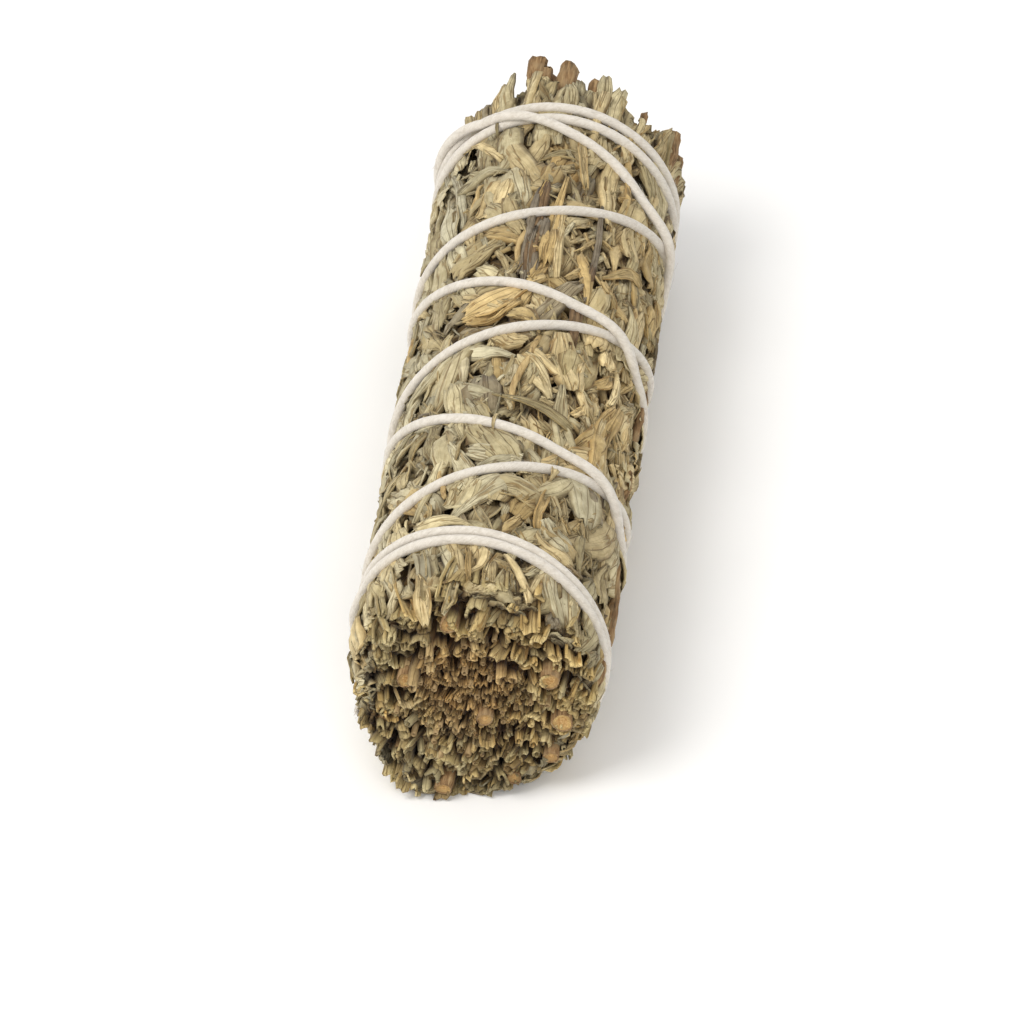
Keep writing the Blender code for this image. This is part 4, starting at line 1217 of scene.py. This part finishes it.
def surface_twigs(draw, near, seat):
    """Short straw-coloured twigs among the outer leaves, and a brown stem along the right side."""
    straw = []
    brown = []
    spots = (
        # (degrees, mm) at one end, (degrees, mm) at the other, radius, brown or not
        ((97.8, 14.2), (95.8, 23.6), 0.42, False), ((88.6, -14), (79.4, 1.0), 0.45, False),
        ((10.3, -16.2), (14.6, -9), 0.5, True), ((3, -49), (9, -24), 0.75, True),
        ((10, -5), (6, 10), 0.6, True), ((128, 28), (124, 34), 0.35, False),
        ((36, 10), (31, 17), 0.4, False), ((112, -31), (117, -25), 0.35, False),
        ((190, -14), (196, -5), 0.42, False), ((232, 18), (226, 30), 0.5, True),
        ((318, 2), (323, 13), 0.45, False), ((344, -30), (350, -19), 0.5, True),
        ((158, 2), (164, 12), 0.4, False), ((205, -28), (200, -16), 0.5, True),
    )
    count, sides = 18, 8
    share = np.linspace(0, 1, count)
    sections = 1 + 0.12 * np.sin(2 * np.arange(sides) + 1.3 * np.arange(count)[:, None])
    for first, last, radius, is_brown in spots:
        angle = np.radians(first[0] + (last[0] - first[0]) * share)
        angle = angle + draw.uniform(-0.04, 0.04) * np.sin(share * math.pi)
        angle = angle + 0.012 * np.sin(share * 9 + radius * 40)
        along = first[1] + (last[1] - first[1]) * share
        height = STRING_SEAT - 0.8 * np.abs(2 * share - 1) ** 3
        path = pressed(place(height, angle, along), near, seat)
        knot = 0.3 * np.exp(-(((share - draw.uniform(0.2, 0.8)) * 14) ** 2))
        swell = (1 + knot + 0.07 * np.sin(np.arange(count) * 2.4)) * (1 - 0.2 * share)
        tube = sweep(path, radius * swell[:, None] * sections, sides)
        (brown if is_brown else straw).append(tube)
    return tube_piece("straw_twigs", straw), tube_piece("brown_twigs", brown)


def far_butts(draw):
    """Brown woody butts that stand out of the far end, with worn rounded tops."""
    parts = []
    butts = (
        # across, up from the axis, how far it reaches, radius
        (-3.5, 14.3, 59.3, 1.12), (-2.2, 14.2, 57.8, 0.8), (0.7, 14.4, 58.1, 1.3), (14.2, 4.8, 57.6, 1.3),
        (10.5, 10.9, 53.9, 0.5), (-8.4, 12.2, 53.2, 0.6), (4.6, 13.8, 55.6, 0.8), (15.0, 1.6, 56.0, 0.9),
        (-12.5, 7.6, 50.5, 0.8), (-14.2, -2.0, 54.6, 0.9), (-7.5, -12.0, 55.0, 1.0), (4.0, -13.0, 54.5, 0.9),
        (12.0, -8.2, 55.2, 1.1), (0.5, 6.0, 55.4, 0.9), (-6.5, 3.0, 55.0, 0.8), (6.0, -3.5, 55.8, 1.0),
    )
    root = 41
    sides = 12
    share = np.append(np.linspace(0, 0.93, 12), (0.96, 0.985, 1))
    worn = 4 * sides
    turns = ring_angles(sides)
    for across, up, reach, radius in butts:
        angle = math.atan2(up, across)
        rho = math.hypot(across, up)
        along = root + (reach - root) * share
        inset = 1.9 * (1 - smooth_step(47.5, 52, along)) if rho > 12 else 0.0
        path = place(rho - inset, angle + 0.03 * np.sin(share * 7 + up), along)
        past = np.maximum(along - (reach - 0.6 * radius), 0) / (0.65 * radius)
        ended = np.sqrt(np.clip(1 - past**2, 0.2, 1))
        ribs = 1 + 0.1 * np.sin(2 * turns + up) + 0.08 * np.sin(3 * turns + across) + 0.04 * np.sin(5 * turns)
        waist = smooth_step(0.7, 0.85, share) - smooth_step(0.0, 0.7, share)
        swell = 1 + 0.07 * np.sin(share * 11 + across) + 0.1 * waist
        lumps = np.array([[draw.gauss(1, 0.13) for _ in range(sides)] for _ in share])
        lumps = (lumps + np.roll(lumps, 1, 1) + np.roll(lumps, 1, 0)) / 3
        twisted = ribs * (1 + 0.05 * np.sin(np.arange(len(share)) * 1.9 + up))[:, None] * lumps
        points, faces, yarn = sweep(path, radius * (swell * ended)[:, None] * twisted, sides)
        points[-worn:, 1] += [draw.gauss(0, 0.16) for _ in range(worn)]
        parts.append((points, faces, yarn))
    return tube_piece("far_woody_butts", parts)


def end_stalks(draw):
    """Thin hollow leaf stalks, cut through, among the leaf ends."""
    stalks = []
    sides = 7
    length = 7
    share = np.linspace(0, 1, 5)
    for end, amount, spread in ((-1, 60, 9.5), (1, 40, 13)):
        for i in range(amount):
            rho = spread * math.sqrt((i + 0.5) / amount)
            angle = i * GOLDEN_TURN + 0.8 + draw.uniform(-0.3, 0.3)
            radius = draw.uniform(0.26, 0.46)
            reach = end_reach(angle, rho, end) + draw.uniform(-0.6, 0.9)
            lean = 0.12 * rho / OUTER_RADIUS * length
            bend = draw.gauss(0, 0.05)
            path = place(rho + lean * share, angle + bend * share, end * (reach - length + length * share))
            points, faces, _ = sweep(path, [radius] * 5, sides)
            tip = points[-sides:]
            middle = tip.mean(axis=0)
            inner = middle + (tip - middle) * 0.5
            deep = inner - (path[-1] - path[-2]) / np.linalg.norm(path[-1] - path[-2]) * 0.6
            first = len(points)
            points = np.concatenate((points, inner, deep))
            faces = faces[:-1] + band(first - sides, first, sides) + band(first, first + sides, sides)
            faces.append(tuple(range(first + sides, first + 2 * sides)))
            stalks.append((points, faces, np.zeros((len(points), 3))))
    return tube_piece("cut_leaf_stalks", stalks)


# The dark middle


def inner_mass():
    """Broken leaf packed inside, seen only down the gaps: a lumpy closed form, painted dark as the shade down
    there.
    """
    length, cuts = 96, 64
    bpy.ops.object.select_all(action="DESELECT")
    middle = (SHIFT[0] * MM, SHIFT[1] * MM, AXIS_HEIGHT * MM)
    bpy.ops.mesh.primitive_cylinder_add(
        vertices=96, radius=12.9 * MM, depth=length * MM, location=middle,
        rotation=(math.radians(90), 0, 0), end_fill_type="TRIFAN",
    )
    obj = start_piece("packed_inner_leaf")
    bpy.ops.object.transform_apply(location=True, rotation=True, scale=True)
    bpy.ops.object.mode_set(mode="EDIT")
    for i in range(1, cuts):
        bpy.ops.mesh.select_all(action="SELECT")
        level = SHIFT[1] - length / 2 + length * i / cuts
        bpy.ops.mesh.bisect(plane_co=(0, level * MM, 0), plane_no=(0, 1, 0))
    bpy.ops.mesh.select_all(action="SELECT")
    bpy.ops.mesh.poke()
    bpy.ops.object.mode_set(mode="OBJECT")
    for vertex in obj.data.vertices:
        angle, along, radius = round_axis(np.array(vertex.co) / MM)
        if radius > 12:
            across, up = 1.1 * radius * math.cos(angle), 1.1 * radius * math.sin(angle)
            lumps = noise.noise(Vector((across, 0.5 * along, up)))
            vertex.co = place(radius + 0.55 * lumps, angle, along) * MM
        elif abs(along) > length / 2 - 0.1:
            vertex.co.y += math.copysign(1.2 * MM, along) * noise.noise(vertex.co * 700)
    bpy.ops.object.shade_smooth()
    return obj


# The studio


def studio():
    """A plain pale floor, three soft lamps and a pale sky."""
    bpy.ops.object.select_all(action="DESELECT")
    bpy.ops.mesh.primitive_plane_add(size=6, location=(0, 0, 0))
    floor = start_piece("studio_floor")
    bpy.ops.object.mode_set(mode="EDIT")
    bpy.ops.mesh.subdivide(number_cuts=3)
    bpy.ops.object.mode_set(mode="OBJECT")
    finish = Finish("pale_paper_floor", 0.9)
    tone = finish.noise(finish.object_place(), 60.0, 2.0, 0.5)
    floor.data.materials.append(finish.surface(finish.mix(tone, (0.93, 0.93, 0.93), (0.95, 0.95, 0.95))))
    world = bpy.data.worlds.new("studio_air")
    world.use_nodes = True
    sky = world.node_tree.nodes["Background"]
    sky.inputs["Color"].default_value = (1.0, 0.99, 0.97, 1)
    sky.inputs["Strength"].default_value = 0.62
    bpy.context.scene.world = world
    lights = (
        # place, size, power, colour
        ((-0.45, -0.30, 0.75), 0.5, 5.2, (1.0, 0.98, 0.95)),
        ((0.3, -0.8, 0.5), 0.7, 2.6, (1.0, 0.99, 0.97)),
        ((0.15, 0.7, 0.6), 0.7, 1.4, (1.0, 1.0, 1.0)),
    )
    for spot, size, power, colour in lights:
        bpy.ops.object.light_add(type="AREA", location=spot)
        lamp = bpy.context.active_object
        lamp.data.size = size
        lamp.data.energy = power
        lamp.data.color = colour
        lamp.rotation_euler = (Vector((0, 0, 0.015)) - Vector(spot)).to_track_quat("-Z", "Y").to_euler()
    bpy.context.scene.view_settings.view_transform = "Standard"


def camera():
    """The photograph's view: from the near end, half above, through a long lens."""
    azimuth, elevation, distance = math.radians(6.32), math.radians(40.44), 1.1
    aim = Vector((0.00088, -0.01578, 0.014)) + Vector(SHIFT * MM)
    level = math.cos(elevation)
    back = Vector((math.sin(azimuth) * level, -math.cos(azimuth) * level, math.sin(elevation)))
    data = bpy.data.cameras.new("photo_camera")
    data.lens = 304
    data.sensor_width = 36
    data.clip_end = 20
    obj = bpy.data.objects.new("photo_camera", data)
    obj.location = aim + back * distance
    obj.rotation_euler = (-back).to_track_quat("-Z", "Y").to_euler()
    bpy.context.scene.collection.objects.link(obj)
    bpy.context.scene.camera = obj


def dress(obj, finishes, slot, *nodes):
    """Gives a finished piece its materials and puts it on its body, and hides the solids of the part that it
    stands for.
    """
    for finish in finishes:
        obj.data.materials.append(finish)
    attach(obj, "root")
    if nodes:
        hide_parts(*nodes)


def build():
    """Makes every piece and puts it on its body."""
    camera()
    studio()
    route = string_path()
    near, seat = string_press_map(route)
    leaf_finish = dried_leaf()
    wood_finishes = (bark(), cut_wood(), pith())
    yarn_finish = cotton()
    side_kinds = side_leaf_kinds()
    end_kinds = end_leaf_kinds()
    heaps = [LeafHeap() for _ in range(OUTER_SPRIGS + 1)]
    lay_side_leaves(heaps, side_kinds, random.Random(7))
    lay_end_leaves(heaps, end_kinds, end_kinds, random.Random(8), -1)
    broad_kinds = [side_kinds[i] for i in (3, 5, 6, 7, 8, 12, 13)]
    lay_end_leaves(heaps, end_kinds, broad_kinds, random.Random(9), 1)
    lay_crumbs(heaps, end_kinds, random.Random(10), 2300)
    lay_by_hand(heaps, side_kinds, random.Random(14))
    laid = np.concatenate([part for heap in heaps for part in heap.points])
    free = np.concatenate([part for heap in heaps for part in heap.free])
    points = np.where(free[:, None], laid, pressed(laid, near, seat))
    light = openness(points)
    done = 0
    for i, heap in enumerate(heaps):
        key = str(i) if i else "heart"
        own = slice(done, done + heap.count)
        done += heap.count
        leaves = heap.make("sprig_" + key + "_dried_leaves", points[own], light[own])
        dress(leaves, [leaf_finish], "leaves", "sprig_" + key + "_leaves")
    dress(inner_mass(), [crumbled_leaf()], "leaves")
    for key in STEMS:
        stem = stem_and_twig(key)
        dress_cut_ends(stem, wood_finishes)
        dress(stem, (), "stems", "sprig_" + key + "_stem")
    straw_twigs, brown_twigs = surface_twigs(random.Random(11), near, seat)
    dress(straw_twigs, [twig_skin()], "stems")
    dress(brown_twigs, [wood_finishes[0]], "stems")
    dress(far_butts(random.Random(15)), [wood_finishes[0]], "stems")
    dress(end_stalks(random.Random(12)), [stalk_skin()], "stems")
    dress(wound_string(route), [yarn_finish], "string", "binding_string")
    dress(string_fluff(route, random.Random(13), 900), [yarn_finish], "string")


build()
